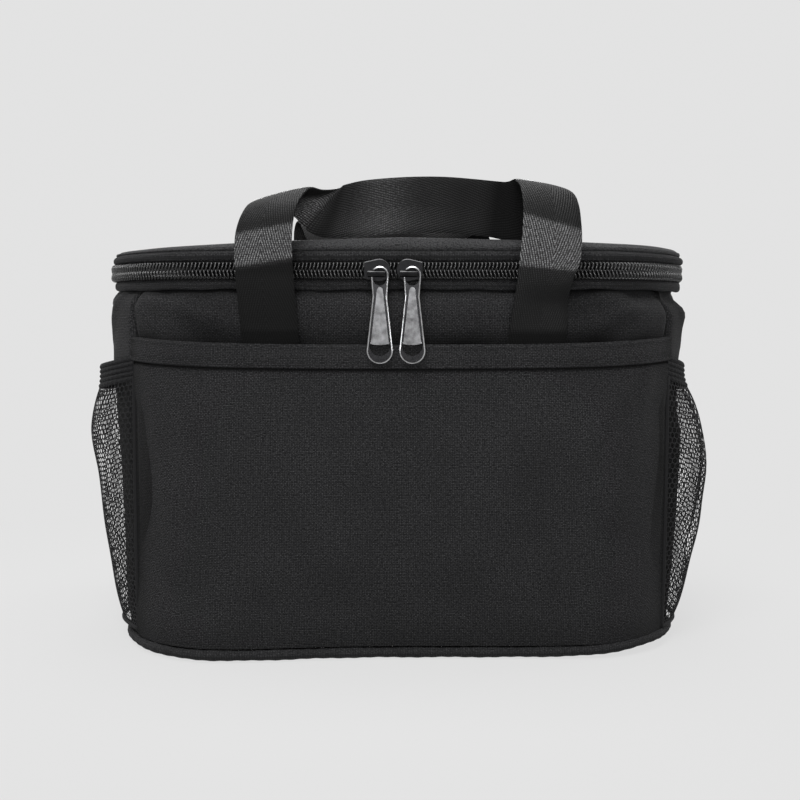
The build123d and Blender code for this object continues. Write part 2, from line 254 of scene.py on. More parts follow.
def swell(u, v, seed, reach, height):
    """Gentle random unevenness of cloth, the same at every run of the script, in waves about reach long."""
    rng = np.random.RandomState(seed)
    total = 0.0
    for _ in range(WAVES):
        angle, phase = rng.uniform(0, 2 * math.pi, 2)
        wave = reach * rng.uniform(0.7, 1.9)
        total = total + np.sin((u * math.cos(angle) + v * math.sin(angle)) * 2 * math.pi / wave + phase)
    return total * height / 3.0


def circle(count):
    """Angles once round a circle."""
    return np.linspace(0, 2 * math.pi, count, endpoint=False)


def unit(vectors):
    """Vectors of the last axis, made 1 long."""
    return vectors / np.maximum(np.linalg.norm(vectors, axis=-1, keepdims=True), 1e-9)


def reach_along(path):
    """Length of a path up to each of its points."""
    return np.r_[0, np.cumsum(np.linalg.norm(np.diff(path, axis=0), axis=1))]


def turns(path):
    """Unit tangents of a path."""
    return unit(np.gradient(np.asarray(path, float), axis=0))


# ---------------------------------------------------------------- mesh making
class Form:
    """Gathers the loops of one piece, in millimetres. cloth is the place on the flat cloth and, in a third
    column where there is one, how much painted shade the point gets, from 0 to 1. In webbing, a value
    below 0 there is painted highlight."""

    def __init__(self):
        self.points, self.cloth, self.faces, self.count = [], [], [], 0

    def add(self, points, cloth, faces):
        self.points.append(np.asarray(points, float).reshape(-1, 3))
        cloth = np.asarray(cloth, float)
        cloth = cloth.reshape(-1, cloth.shape[-1])
        self.cloth.append(np.c_[cloth, np.zeros(len(cloth))] if cloth.shape[1] == 2 else cloth)
        self.faces += [tuple(i + self.count for i in f) for f in faces]
        self.count += len(self.points[-1])

    def rings(self, rings, cloth=None, closed=False):
        """Skins a row of closed loops that have the same number of points, and caps its open ends."""
        rings = np.asarray(rings, float)
        n, m = rings.shape[:2]
        if cloth is None:
            cloth = np.zeros((n, m, 2))
        i = np.arange(n if closed else n - 1)[:, None]
        j = np.arange(m)[None, :]
        i2, j2 = (i + 1) % n, (j + 1) % m
        quads = points_of(i * m + j, i2 * m + j, i2 * m + j2, i * m + j2)
        faces = quads.reshape(-1, 4).tolist()
        if not closed:
            faces += [list(range(m)), [(n - 1) * m + k for k in range(m)][::-1]]
        self.add(rings, cloth, faces)

    def two_sided(self, outer, inner, outer_cloth, inner_cloth=None):
        """Skins a cloth with an outer and an inner face."""
        inner_cloth = outer_cloth if inner_cloth is None else inner_cloth
        self.rings(
            np.concatenate([outer, inner[:, ::-1]], 1), np.concatenate([outer_cloth, inner_cloth[:, ::-1]], 1)
        )

    def piece(self, name, material, body, slot=None, replaces=(), sharp=50.0):
        """Makes the object, smooth shaded, and lets it ride on its body."""
        mesh = bpy.data.meshes.new(name)
        mesh.from_pydata((np.concatenate(self.points) * MM).tolist(), [], self.faces)
        attribute = mesh.attributes.new("cloth", "FLOAT_VECTOR", "POINT")
        attribute.data.foreach_set("vector", (np.concatenate(self.cloth) * [MM, MM, 1.0]).ravel())
        work = bmesh.new()
        work.from_mesh(mesh)
        bmesh.ops.recalc_face_normals(work, faces=work.faces)
        work.to_mesh(mesh)
        work.free()
        mesh.shade_smooth()
        mesh.set_sharp_from_angle(angle=math.radians(sharp))
        mesh.materials.append(material)
        made = bpy.data.objects.new(name, mesh)
        bpy.context.scene.collection.objects.link(made)
        if body:
            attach(made, body)
        if replaces:
            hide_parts(*replaces)
        return made


def swept(runs, profile):
    """Loops of a strip that follows the plan. profile(run) gives its closed section as (out, z) rows."""
    sections = np.array([profile(r) for r in runs])
    x, y = plan(np.asarray(runs)[:, None], sections[..., 0])
    around = np.cumsum(np.r_[0, np.hypot(*np.diff(sections[0], axis=0).T)])
    return points_of(x, y, sections[..., 1]), points_of(np.asarray(runs)[:, None], around[None, :])


def oval(out0, out1, z0, z1, power=2.6, count=20):
    """Rounded section between two offsets and two heights."""
    t = circle(count)
    c, s = np.cos(t), np.sin(t)
    o = np.sign(c) * np.abs(c) ** (2 / power)
    h = np.sign(s) * np.abs(s) ** (2 / power)
    return np.c_[(out0 + out1) / 2 + (out1 - out0) / 2 * o, (z0 + z1) / 2 + (z1 - z0) / 2 * h]


def round_loop(centres, radius, one, other, sides):
    """Circles round centres, in the plane of the two unit vectors."""
    t = circle(sides)[:, None]
    return centres[..., None, :] + radius * (np.cos(t) * one[..., None, :] + np.sin(t) * other[..., None, :])


def tube(form, path, radius, sides=6):
    """Round thread along a path. Its section doesn't twist."""
    path = np.asarray(path, float)
    tangent = turns(path)
    normal = unit(np.cross(tangent[0], (0.31, 0.17, 0.94)))
    loops = []
    for p, d in zip(path, tangent):
        normal = unit(normal - d * np.dot(normal, d))
        loops.append(round_loop(p, radius, normal, np.cross(d, normal), sides))
    form.rings(loops)


STITCH_STEPS = np.array([-0.5, -0.36, 0, 0.36, 0.5])  # places along one stitch, as shares of its length
STITCH_DIPS = np.array([-1.1, 0.35, 0.8, 0.35, -1.1])  # height there, in radii of the thread
STITCH_RADIUS = 0.22


def stitches(form, path, normal, pitch, lift=0.1, share=1.0):
    """A row of sewn stitches along a path on cloth: short threads that dip in at both ends."""
    path, normal = np.asarray(path, float), np.asarray(normal, float)
    reach = reach_along(path)
    centres = np.arange(pitch / 2, reach[-1], pitch)
    at = centres[:, None] + STITCH_STEPS[None, :] * size("stitch_length") * share
    p, n = (np.stack([np.interp(at, reach, part[:, k]) for k in range(3)], -1) for part in (path, normal))
    n = unit(n)
    side = np.cross(unit(p[:, -1:] - p[:, :1]), n)
    p = p + n * (lift + STITCH_DIPS[None, :, None] * STITCH_RADIUS)
    for loops in round_loop(p, STITCH_RADIUS, side, n, sides=5):
        form.rings(loops)


# ---------------------------------------------------------------- shader groups
PAINTED_SHADE_TONE = (0.0008, 0.0008, 0.0008, 1)  # painted shade: cloth deep in a fold, where hardly any light gets
PAINTED_GLINT_TONE = (0.33, 0.33, 0.335, 1)  # painted highlight: webbing yarn lit to a pale glint
PICKS = 1250.0  # cross threads of the webbing per metre


class Graph:
    """Builds the nodes of one shader tree. What it is given as an input is a socket or a plain value."""

    def __init__(self, tree):
        self.tree = tree

    def feed(self, socket, value):
        if isinstance(value, bpy.types.NodeSocket):
            self.tree.links.new(value, socket)
        elif value is not None:
            socket.default_value = value

    def node(self, kind, feeds=(), **settings):
        """Node of a kind, with its settings made and its inputs fed."""
        made = self.tree.nodes.new("ShaderNode" + kind)
        for label, value in settings.items():
            setattr(made, label, value)
        for place, value in dict(feeds).items():
            self.feed(made.inputs[place], value)
        return made

    def calc(self, operation, a, b=None, c=None):
        return self.node("Math", {0: a, 1: b, 2: c}, operation=operation).outputs[0]

    def mix(self, share, a, b):
        """Mix of two colours."""
        return self.node("Mix", {"Factor": share, 6: a, 7: b}, data_type="RGBA").outputs[2]

    def noise(self, vector, scale, detail=2.0, roughness=0.5):
        feeds = {"Vector": vector, "Scale": scale, "Detail": detail, "Roughness": roughness}
        return self.node("TexNoise", feeds).outputs["Fac"]

    def ramp(self, value, low, high):
        """Stretches value from low..high to 0..1."""
        return self.node("MapRange", {"Value": value, "From Min": low, "From Max": high}).outputs["Result"]

    def stretched(self, vector, x, y, z=0.0):
        return self.node("VectorMath", {0: vector, 1: (x, y, z)}, operation="MULTIPLY").outputs[0]

    def arches(self, value):
        """Row of round arches, one for every whole number of value."""
        return self.calc("ABSOLUTE", self.calc("SINE", self.calc("MULTIPLY", value, math.pi)))

    def mix_shaders(self, share, plain, other):
        return self.node("MixShader", {"Fac": share, 1: plain.outputs[0], 2: other.outputs[0]}).outputs[0]


def new_group(name, inputs):
    """Shader group with named inputs that gives colour, height and roughness. Returns its graph, the
    sockets of its inputs by name, and a function that links its outputs."""
    group = bpy.data.node_groups.new(name, "ShaderNodeTree")
    for label, kind, default in inputs:
        socket = group.interface.new_socket(name=label, in_out="INPUT", socket_type="NodeSocket" + kind)
        if default is not None:
            socket.default_value = default
    for label, kind in (("Colour", "Color"), ("Height", "Float"), ("Roughness", "Float")):
        group.interface.new_socket(name=label, in_out="OUTPUT", socket_type="NodeSocket" + kind)
    source, out = group.nodes.new("NodeGroupInput"), group.nodes.new("NodeGroupOutput")

    def finish(colour, height, roughness):
        for socket, value in zip(out.inputs, (colour, height, roughness)):
            group.links.new(value, socket)
        return group

    return Graph(group), source.outputs, finish


def make_weave():
    """Plain weave of dark and paler yarns, laid on the flat cloth. Bias turns the weave on the cloth. The
    cloth's third column darkens it with painted shade.
    """
    graph, given, finish = new_group(
        "plain weave",
        [
            ("Cloth", "Vector", None),
            ("Yarns per metre", "Float", 1400.0),
            ("Bias", "Float", 0.0),
            ("Dark yarn", "Color", (0.02, 0.02, 0.02, 1)),
            ("Pale yarn", "Color", (0.06, 0.06, 0.06, 1)),
            ("Flecks", "Float", 0.5),
        ],
    )
    calc, cloth, yarns = graph.calc, given["Cloth"], given["Yarns per metre"]
    x, y, crease = graph.node("SeparateXYZ", {0: cloth}).outputs
    turned_x = calc("ADD", x, calc("MULTIPLY", y, given["Bias"]))
    turned_y = calc("SUBTRACT", y, calc("MULTIPLY", x, given["Bias"]))
    across, along = calc("MULTIPLY", turned_x, yarns), calc("MULTIPLY", turned_y, yarns)
    round_yarn = calc("MULTIPLY", graph.arches(across), graph.arches(along))
    cell = calc("ADD", calc("FLOOR", across), calc("FLOOR", along))
    over = calc("MULTIPLY_ADD", calc("ABSOLUTE", calc("MODULO", cell, 2.0)), 0.45, 0.55)
    height = calc("MULTIPLY", round_yarn, over)
    grain = graph.noise(graph.stretched(cloth, 1500, 1500), 1.0)
    slub = graph.noise(graph.stretched(cloth, 620, 1500), 1.0, 1.0)
    cloud = graph.noise(graph.stretched(cloth, 42, 42), 1.0, 3.0)
    fleck = calc("MULTIPLY_ADD", graph.ramp(slub, 0.42, 0.75), 0.5, graph.ramp(grain, 0.38, 0.72))
    fleck = calc("MULTIPLY", fleck, calc("ADD", 0.4, cloud))
    fleck = calc("MULTIPLY", fleck, given["Flecks"])
    share = calc("MULTIPLY", fleck, calc("MULTIPLY_ADD", height, 1.5, 0.15))
    tone = graph.mix(calc("MINIMUM", 1.0, share), given["Dark yarn"], given["Pale yarn"])
    dull = calc("MULTIPLY_ADD", cloud, 0.16, 0.7)
    # painted shade: the cloth's third column darkens the colour and makes the cloth duller
    return finish(
        graph.mix(crease, tone, PAINTED_SHADE_TONE),
        calc("MULTIPLY_ADD", grain, 0.5, height),
        calc("MAXIMUM", crease, dull),
    )


def make_twill():
    """Ribbed webbing: slanting yarns that change direction along one line. The cloth's third column gives
    it painted shade above 0 and painted highlight below 0.
    """
    graph, given, finish = new_group(
        "ribbed twill",
        [
            ("Cloth", "Vector", None),
            ("Turn line", "Float", 0.0),
            ("Ribs per metre", "Float", 1000.0),
            ("Slant", "Float", 0.5),
            ("Dark yarn", "Color", (0.02, 0.02, 0.02, 1)),
            ("Pale yarn", "Color", (0.08, 0.08, 0.08, 1)),
        ],
    )
    calc, cloth = graph.calc, given["Cloth"]
    x, y, crease = graph.node("SeparateXYZ", {0: cloth}).outputs
    folded = calc("ABSOLUTE", calc("SUBTRACT", y, given["Turn line"]))
    slanted = calc("MULTIPLY_ADD", x, given["Slant"], folded)
    rib = graph.arches(calc("MULTIPLY", slanted, given["Ribs per metre"]))
    pick = calc("ABSOLUTE", calc("SINE", calc("MULTIPLY", x, PICKS * math.pi)))
    height = calc("MULTIPLY", rib, calc("MULTIPLY_ADD", pick, 0.6, 0.4))
    speck = graph.noise(graph.stretched(cloth, 900, 1700), 1.0)
    share = calc("MULTIPLY", calc("POWER", height, 1.6), graph.ramp(speck, 0.3, 0.7))
    share = calc("MINIMUM", 1.0, share)
    tone = graph.mix(share, given["Dark yarn"], given["Pale yarn"])
    # painted highlight where the cloth's third column is below 0
    painted_glint = calc("MAXIMUM", 0.0, calc("MULTIPLY", crease, -1.0))
    tone = graph.mix(calc("MULTIPLY", share, painted_glint), tone, PAINTED_GLINT_TONE)
    # painted shade where it is above 0; it also makes the yarn duller
    crease = calc("MAXIMUM", 0.0, crease)
    dull = calc("MULTIPLY_ADD", height, -0.22, 0.42)
    dull = calc("MULTIPLY_ADD", speck, 0.1, dull)
    dull = calc("MULTIPLY_ADD", crease, 0.6, dull)
    return finish(graph.mix(crease, tone, PAINTED_SHADE_TONE), height, calc("MINIMUM", 1.0, dull))


def make_wear():
    """Cloudy change of tone and gloss for smooth finishes."""
    graph, given, finish = new_group(
        "cloudy finish",
        [
            ("Place", "Vector", None),
            ("Size", "Float", 60.0),
            ("Light tone", "Color", (0.2, 0.2, 0.2, 1)),
            ("Dark tone", "Color", (0.1, 0.1, 0.1, 1)),
            ("Smoothest", "Float", 0.2),
            ("Change", "Float", 0.15),
        ],
    )
    cloud = graph.noise(given["Place"], given["Size"], 4.0, 0.55)
    tone = graph.mix(graph.ramp(cloud, 0.3, 0.7), given["Dark tone"], given["Light tone"])
    return finish(tone, cloud, graph.calc("MULTIPLY_ADD", cloud, given["Change"], given["Smoothest"]))


GROUP_MAKERS = {"plain weave": make_weave, "ribbed twill": make_twill, "cloudy finish": make_wear}


# ---------------------------------------------------------------- materials
def finish_material(name, kind, values, bump, depth, specular, metallic=0.0):
    """Material with one shared group feeding colour, roughness and a bump of the given depth in metres.
    Smooth finishes are laid in the object's space and woven ones on the flat cloth."""
    found = bpy.data.materials.get(name)
    if found:
        return found
    material = bpy.data.materials.new(name)
    material.use_nodes = True
    graph = Graph(material.node_tree)
    effect = graph.node("Group", node_tree=bpy.data.node_groups.get(kind) or GROUP_MAKERS[kind]())
    for label, value in values.items():
        effect.inputs[label].default_value = (*value, 1) if hasattr(value, "__len__") else value
    if kind == "cloudy finish":
        where = graph.node("TexCoord").outputs["Object"]
    else:
        where = graph.node("Attribute", attribute_name="cloth").outputs["Vector"]
    graph.feed(effect.inputs[0], where)
    relief = graph.node("Bump", {"Strength": bump, "Distance": depth, "Height": effect.outputs["Height"]})
    shader = material.node_tree.nodes["Principled BSDF"]
    for label, value in (
        ("Base Color", effect.outputs["Colour"]),
        ("Roughness", effect.outputs["Roughness"]),
        ("Normal", relief.outputs["Normal"]),
        ("Metallic", metallic),
        ("Sheen Roughness", 0.5),
        ("Specular IOR Level", specular),
    ):
        graph.feed(shader.inputs[label], value)
    return material


def toned(shade, share):
    return tuple(v * share for v in shade)


# Woven cloths: yarns per metre, bias, dark and pale yarn, flecks, bump, depth of the bump in mm, specular.
# The lid's cloth shows more of its pale yarn: painted light on the lid's top, which faces the lamps.
WOVEN = {
    "heathered cloth": (1350.0, 0.0, "cloth", "fleck", 0.88, 0.7, 0.4, 0.1),
    "lid cloth": (1350.0, 0.0, "cloth", "fleck", 3.3, 0.7, 0.4, 0.14),
    "trim cloth": (900.0, 1.0, "cloth", "fleck", 0.78, 0.7, 0.4, 0.12),
    "zip tape cloth": (1700.0, 0.0, "coil", "webbing", 0.3, 0.5, 0.3, 0.08),
    "net thread": (3000.0, 0.0, "net", "webbing", 0.6, 0.4, 0.2, 0.2),
    "ribbed elastic": (1500.0, 0.0, "cloth", "fleck", 0.4, 0.6, 0.3, 0.08),
}
# Smooth finishes: clouds per metre, colour, shares of it in the light and the dark tone, least roughness,
# bump, depth of the bump in mm, specular, metallic.
SMOOTH = {
    "coil nylon": (700.0, "coil", 1.0, 0.5, 0.2, 0.1, 0.1, 0.45, 0.0),
    "silver lining": (160.0, "foil", 1.0, 0.82, 0.26, 0.5, 0.9, 0.5, 0.75),
    "foam cells": (1400.0, "foam", 1.0, 0.85, 0.75, 0.6, 0.4, 0.5, 0.0),
    "dark nickel": (420.0, "metal", 1.0, 0.6, 0.2, 0.05, 0.1, 0.5, 1.0),
    "slider enamel": (420.0, "metal", 0.8, 0.4, 0.3, 0.05, 0.1, 0.5, 1.0),
    # painted highlight: these two edge finishes go on the slanting faces of the metal
    "rubbed slider edge": (300.0, "edge", 0.09, 0.036, 0.3, 0.05, 0.1, 0.5, 1.0),
    "polished edge": (300.0, "edge", 1.0, 0.5, 0.22, 0.05, 0.1, 0.5, 1.0),
    "satin plate": (320.0, "inlay", 1.0, 0.25, 0.3, 0.3, 0.15, 0.5, 0.9),
}


def woven(name):
    """Material of one of the woven cloths."""
    yarns, bias, dark, pale, flecks, bump, depth, specular = WOVEN[name]
    dark, pale = getattr(colours(), dark), getattr(colours(), pale)
    values = {"Yarns per metre": yarns, "Bias": bias, "Dark yarn": dark, "Pale yarn": pale, "Flecks": flecks}
    return finish_material(name, "plain weave", values, bump, depth * MM, specular)


def smooth(name):
    """Material of one of the smooth finishes."""
    clouds, shade, light, dark, smoothest, bump, depth, specular, metallic = SMOOTH[name]
    shade = getattr(colours(), shade)
    values = {"Size": clouds, "Light tone": toned(shade, light), "Dark tone": toned(shade, dark)}
    values["Smoothest"] = smoothest
    return finish_material(name, "cloudy finish", values, bump, depth * MM, specular, metallic)


def webbing_cloth():
    yarn = colours().webbing
    values = {"Turn line": -1.0 * MM, "Ribs per metre": 900.0, "Slant": 0.32}
    values.update({"Dark yarn": toned(yarn, 0.1), "Pale yarn": toned(yarn, 0.9)})
    return finish_material("handle webbing", "ribbed twill", values, bump=0.6, depth=0.3 * MM, specular=0.16)


def sewing_thread():
    values = {"Size": 900.0, "Light tone": toned(colours().webbing, 1.1), "Dark tone": colours().coil}
    values["Smoothest"] = 0.6
    return finish_material("sewing thread", "cloudy finish", values, bump=0.3, depth=0.1 * MM, specular=0.12)


# ---------------------------------------------------------------- shared faces of the bag
CORNER_LIFT = (2.8, 0.5)  # lift of the base's corners on the right and on the left
LIFT_SPREAD = 36
LIFT_TOP = 34  # height where it has faded out


def foot_lift(run, z):
    """The base's corners stand a little off the floor; this fades out up the wall."""
    r = np.abs(run)
    corners = hump(r, front_seam, LIFT_SPREAD) + hump(r, back_seam, LIFT_SPREAD)
    return np.where(run > 0, *CORNER_LIFT) * corners * fade(1 - z / LIFT_TOP) ** 2


# Creases of the walls, as ridges() takes them: runs and heights of both ends, width and height.
FRONT_CREASES = [
    (118, 163, 88, 149, 3.4, 1.5),
    (112, 166, 66, 158, 2.6, 0.9),
    (121, 158, 101, 141, 3.0, 1.3),
    (84, 166, 96, 152, 2.6, -0.9),
    (60, 166, 74, 150, 3.2, 0.7),
    (36, 166, 30, 148, 4.5, 0.8),
    (6, 166, 12, 146, 6.0, 0.6),
    (-118, 163, -80, 151, 3.2, 1.4),
    (-108, 166, -92, 146, 2.8, -0.9),
    (-121, 157, -104, 141, 3.0, 1.2),
    (-78, 166, -86, 149, 2.8, 0.8),
    (-40, 166, -48, 147, 4.0, 0.9),
    (-20, 166, -14, 148, 4.5, 0.6),
]
SIDE_CREASES = [
    (140, 164, 158, 140, 3.2, 1.1),
    (112, 162, 168, 162, 4.2, -3.4),
    (152, 154, 172, 144, 3.4, 0.9),
    (186, 166, 180, 146, 4.0, 0.8),
    (232, 164, 214, 144, 3.4, 1.1),
    (205, 166, 200, 150, 4.0, -0.8),
    (-138, 164, -156, 143, 3.2, 1.2),
    (-150, 166, -176, 154, 3.2, 0.9),
    (-190, 166, -184, 146, 4.0, 0.8),
    (-234, 164, -212, 146, 3.4, 1.0),
]
BACK_CREASES = [
    (262, 164, 300, 146, 3.2, 1.3),
    (270, 158, 292, 138, 3.4, 1.0),
    (330, 166, 322, 144, 4.2, 0.9),
    (360, 166, 352, 150, 4.0, 0.7),
    (-262, 164, -304, 148, 3.2, 1.3),
    (-272, 157, -290, 136, 3.4, 1.0),
    (-338, 166, -330, 146, 4.2, 0.8),
    (-366, 166, -372, 150, 4.0, 0.7),
]


def seam_at(run):
    """Run of the front seam on the side where run is."""
    return np.where(np.asarray(run) > 0, right_seam, front_seam)


SEAM_DRAW = (5.5, 3.8)  # on the right and on the left


def seam_draw(run, z):
    """How far the two front seams are drawn towards the middle under the rim."""
    return np.where(np.asarray(run) > 0, *SEAM_DRAW) * fade((z - 148) / 17) ** 1.4


# How far the walls bulge at each height, as shares of their fullness: at the ends, and in front.
END_BULGE = ([5, 35, 90, 130, 145, 154, 161, wall_high], [0.0, 0.3, 0.8, 1.05, 0.75, 1.0, 0.6, -1.0])
FRONT_BULGE = (
    [5, 35, 90, 126, 140, 148, 156, 161, wall_high],
    [0.0, 0.3, 0.7, 0.2, 0.0, 1.0, 1.6, 1.1, -1.0],
)
# How far the end pockets press the walls in beside the front seams: heights and shares.
LEFT_SQUEEZE = ([16, 50, 108, 120, 134], [0.0, 1.0, 1.0, 0.7, 0.0])
RIGHT_SQUEEZE = ([96, 106, 130, 138, 152], [0.0, 1.0, 1.0, 0.5, 0.0])
SEAM_HALF = 2.1  # half the width of the tuck at a seam
SEAM_TUCK = 2.3  # its depth
SEAM_LINE = 1.3  # half the width of the dark line in it
STRAP_RUN = 86  # run of the webbing's shadow on the front


def wall_face(run, z):
    """How far the outer cloth stands from the plan: padded bulge, tucked seams and creases."""
    r = np.abs(run)
    inside = seam_at(run) - r
    ends, fore = curve(z, *END_BULGE), curve(z, *FRONT_BULGE)
    bulge = size("wall_fullness") * (ends + (fore - ends) * fade((inside + 3) / 8) * fade((z - 118) / 18))
    behind_pocket = fade(inside / 12) * fade((hem_low + 8 - z) / 10)
    bulge = bulge * (1 - 0.6 * behind_pocket)
    seams = hump(inside, seam_draw(run, z), SEAM_HALF) + hump(r, back_seam, SEAM_HALF)
    creases = 1.5 * ridges(run, z, FRONT_CREASES + SIDE_CREASES + BACK_CREASES) + swell(run, z, 4, 46, 0.35)
    height = np.clip((z - np.where(r < front_seam, 100, 118)) / 45, 0.15, 1)
    creases = creases * height * (1 - 0.7 * behind_pocket) * (1 - seams)
    rim_side = np.where(run > 0, 2.2, 0.0) * hump(z, wall_high, 4.0) * (r > front_seam)
    squeeze = np.where(run > 0, 2.2 * curve(z, *RIGHT_SQUEEZE), 1.7 * curve(z, *LEFT_SQUEEZE))
    bulge = bulge - squeeze * fade(-inside / 12) * fade((back_seam - r) / 12)
    return lean(z, run) + bulge * (1 - 0.5 * seams) - SEAM_TUCK * seams + creases + rim_side


def painted_wall_shade(run, z):
    """Painted shade of the walls: at the seams, under the rim, over the hem, beside the webbing, behind the
    nets and on the right front corner.
    """
    r = np.abs(run)
    inside = seam_at(run) - r
    seams = hump(inside, seam_draw(run, z), SEAM_LINE) + hump(r, back_seam, SEAM_LINE)
    rim = 0.7 * fade((z - wall_high + 3.0) / 3.0)
    hem = fade((hem_high + 9 - z) / 9) * fade(inside / 4) * (0.62 + 0.2 * swell(run, z, 61, 70, 1.0))
    strap = 0.35 * hump(r, STRAP_RUN, 14) * fade((z - hem_low) / 10)
    net = 0.75 * fade((elastic_high - z) / 8) * fade(-inside / 6) * fade((back_seam - r) / 6)
    right_end = 0.3 * fade(-inside / 3) * (run > 0) * (r < side_run)
    return fade(0.95 * seams + rim + hem + strap * (inside > 0) + net + right_end)


# Walls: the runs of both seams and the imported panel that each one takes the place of.
WALLS = {
    "front": (-front_seam, right_seam, "front_panel"),
    "right": (right_seam, back_seam, "right_side_panel"),
    "back": (back_seam, 2 * half_run - back_seam, "back_panel"),
    "left": (-back_seam, -front_seam, "left_side_panel"),
}


def wall_piece(low, high, outer, inner, levels, count):
    """One wall slab between two seams. A run past the middle of the back counts from the other side."""
    share = np.linspace(0, 1, count)
    ease = 0.5 - 0.5 * np.cos(share * math.pi)
    share, z = np.meshgrid(0.45 * share + 0.55 * ease, levels, indexing="ij")
    first, last = (end - np.sign(end) * seam_draw(end, z) * (abs(end) < side_run) for end in (low, high))
    run = first + (last - first) * share
    at = np.where(run > half_run, run - 2 * half_run, run)
    lifted = z + foot_lift(at, z)
    faces = [points_of(*plan(at, out(at, z)), lifted) for out in (outer, inner)]
    form = Form()
    # the walls' painted shade goes in the cloth's third column
    form.two_sided(*faces, points_of(run, z, painted_wall_shade(at, z)))
    return form


def heights_of(low, high, count):
    """Heights that crowd together near the top, where the cloth creases."""
    t = np.linspace(0, 1, count)
    return low + (high - low) * (1 - (1 - t) ** 1.35)


CLOTH = 0.9  # thickness of the outer cloth with its backing
PAD_SEAM = 0.6  # how far the padding stays clear of a seam
PAD_FACES = (2.0, 6.4, 7.1)  # padding's outer face behind the cloth's, least and inner face from the plan


def build_walls():
    pad_gap, pad_least, pad_inner = PAD_FACES
    for side, (low, high, node) in WALLS.items():
        levels = heights_of(wall_low + 0.2, wall_high, count=46)
        form = wall_piece(low, high, wall_face, lambda r, z: wall_face(r, z) - CLOTH, levels, count=84)
        panel = form.piece(side + "_cloth", woven("heathered cloth"), "body", "oxford_cloth", [node])
        form = wall_piece(
            low + PAD_SEAM,
            high - PAD_SEAM,
            lambda r, z: np.maximum(wall_face(r, z) - pad_gap, lean(z, r) - pad_least),
            lambda r, z: lean(z, r) - pad_inner,
            heights_of(7.6, wall_high - 0.3, count=24),
            count=40,
        )
        pad = form.piece(side + "_padding", smooth("foam cells"), "body", "insulation_foam", ["foam_" + side])


SPINE = 0.4  # length of the spine of a flat piece, as a share of the piece's


def flat_loops(runs, rows):
    """Loops round the plan, drawn in towards a spine along its middle. Each row is (share of the way out
    from the spine, out, z)."""
    loops = []
    for share, out, z in rows:
        x, y = plan(runs, out)
        spine = SPINE * x
        loops.append(points_of(spine + share * (x - spine), share * y, z))
    return np.array(loops)


def flat_form(runs, rows):
    """Nearly flat piece of such loops. Its cloth lies outwards from its middle, and on over its edge."""
    loops = flat_loops(runs, rows)
    steps = np.linalg.norm(np.diff(loops, axis=0), axis=-1)
    direction = loops[..., :2]
    reach = np.linalg.norm(direction[0], axis=-1) + np.r_[np.zeros((1, len(runs))), np.cumsum(steps, 0)]
    away = np.maximum(np.linalg.norm(direction, axis=-1), 1e-6)
    form = Form()
    form.rings(loops, direction * (reach / away)[..., None])
    return form


def all_round(count):
    """Runs round the whole plan."""
    return np.linspace(-half_run, half_run, count, endpoint=False)


# Edge of the base's cloth: how far inside the walls, and height.
BASE_EDGE = [(2.2, 0.5), (1.2, 1.0), (2.2, 1.6)]
# Base's padding: share of the way out, how far inside the walls, and height.
BASE_PAD = [
    (0.03, 8.4, 1.6),
    (0.5, 8.4, 1.6),
    (0.9, 8.4, 1.6),
    (1.0, 8.6, 1.8),
    (1.0, 8.1, 4.4),
    (1.0, 8.6, 6.8),
    (0.9, 8.4, 7.1),
    (0.5, 8.4, 7.1),
    (0.03, 8.4, 7.1),
]


def build_base():
    runs = all_round(200)
    edge = lean(0, runs)
    rows = []
    for share in (0.03, 0.25, 0.5, 0.75, 0.93):
        sag = 0.35 * swell(runs, share * 60, 8, 50, 1.0)
        rows.append((share, edge - 1.6, 0.45 + sag * share))
    lift = foot_lift(runs, 0.0)
    rows += [(1.0, edge - inside, z + lift) for inside, z in BASE_EDGE]
    rows += [(share, edge - 1.6, 1.35) for share in (0.93, 0.5, 0.03)]
    form = flat_form(runs, rows)
    base = form.piece("base_cloth", woven("heathered cloth"), "body", "oxford_cloth", ["bottom_panel"])
    form = flat_form(runs, [(share, edge - inside, z) for share, inside, z in BASE_PAD])
    pad = form.piece("base_padding", smooth("foam cells"), "body", "insulation_foam", ["foam_base"])


FOIL = 0.5  # thickness of the lining with its backing
FOIL_FOLDS = (straight_x + 12, side_run - 10, back_run - 14)  # runs of its upright folds


def build_lining():
    """The welded foil tub: crinkled walls and floor with a folded corner at each end, and a lip over the
    foam at the mouth."""
    runs = all_round(320)

    def crinkle(z):
        fine = swell(runs, z * 1.1, 21, 15, 0.28) + swell(runs, z, 22, 44, 0.55)
        folds = sum(hump(np.abs(runs), fold, 2.6) for fold in FOIL_FOLDS)
        return -np.abs(fine) * 0.8 - 0.8 * folds

    def face_rows(face, gap):
        """Rows of the inner face, 1, or of the outer one, 0, from the floor's middle to the lip."""
        rows = []
        for share in np.linspace(0.03, 0.96, 12):
            bump = 0.5 * np.abs(swell(runs, share * 80, 31, 22, 0.5)) * min(1.0, 4 * share)
            rows.append((share, lean(8, runs) - 8.4, 7.6 + FOIL * face + bump))
        rows.append((1.0, lean(8, runs) - 8.3 - FOIL * face, 8.0 + FOIL * face))
        for z in heights_of(10, wall_high - 0.4, count=40):
            rows.append((1.0, lean(z, runs) + gap + crinkle(z) * fade((wall_high - z) / 10), z))
        rows.append((1.0, -5.0 - 0.2 * face, wall_high - 0.1 + 0.4 * face))
        rows.append((1.0, -2.2, wall_high + 0.1 + 0.4 * face))
        return rows

    loops = flat_loops(runs, face_rows(0, -7.3) + face_rows(1, -7.8)[::-1])
    form = Form()
    form.rings(loops, points_of(runs[None, :], loops[..., 2]))
    tub = form.piece("foil_tub", smooth("silver lining"), "body", "foil_lining", ["liner_tub"])


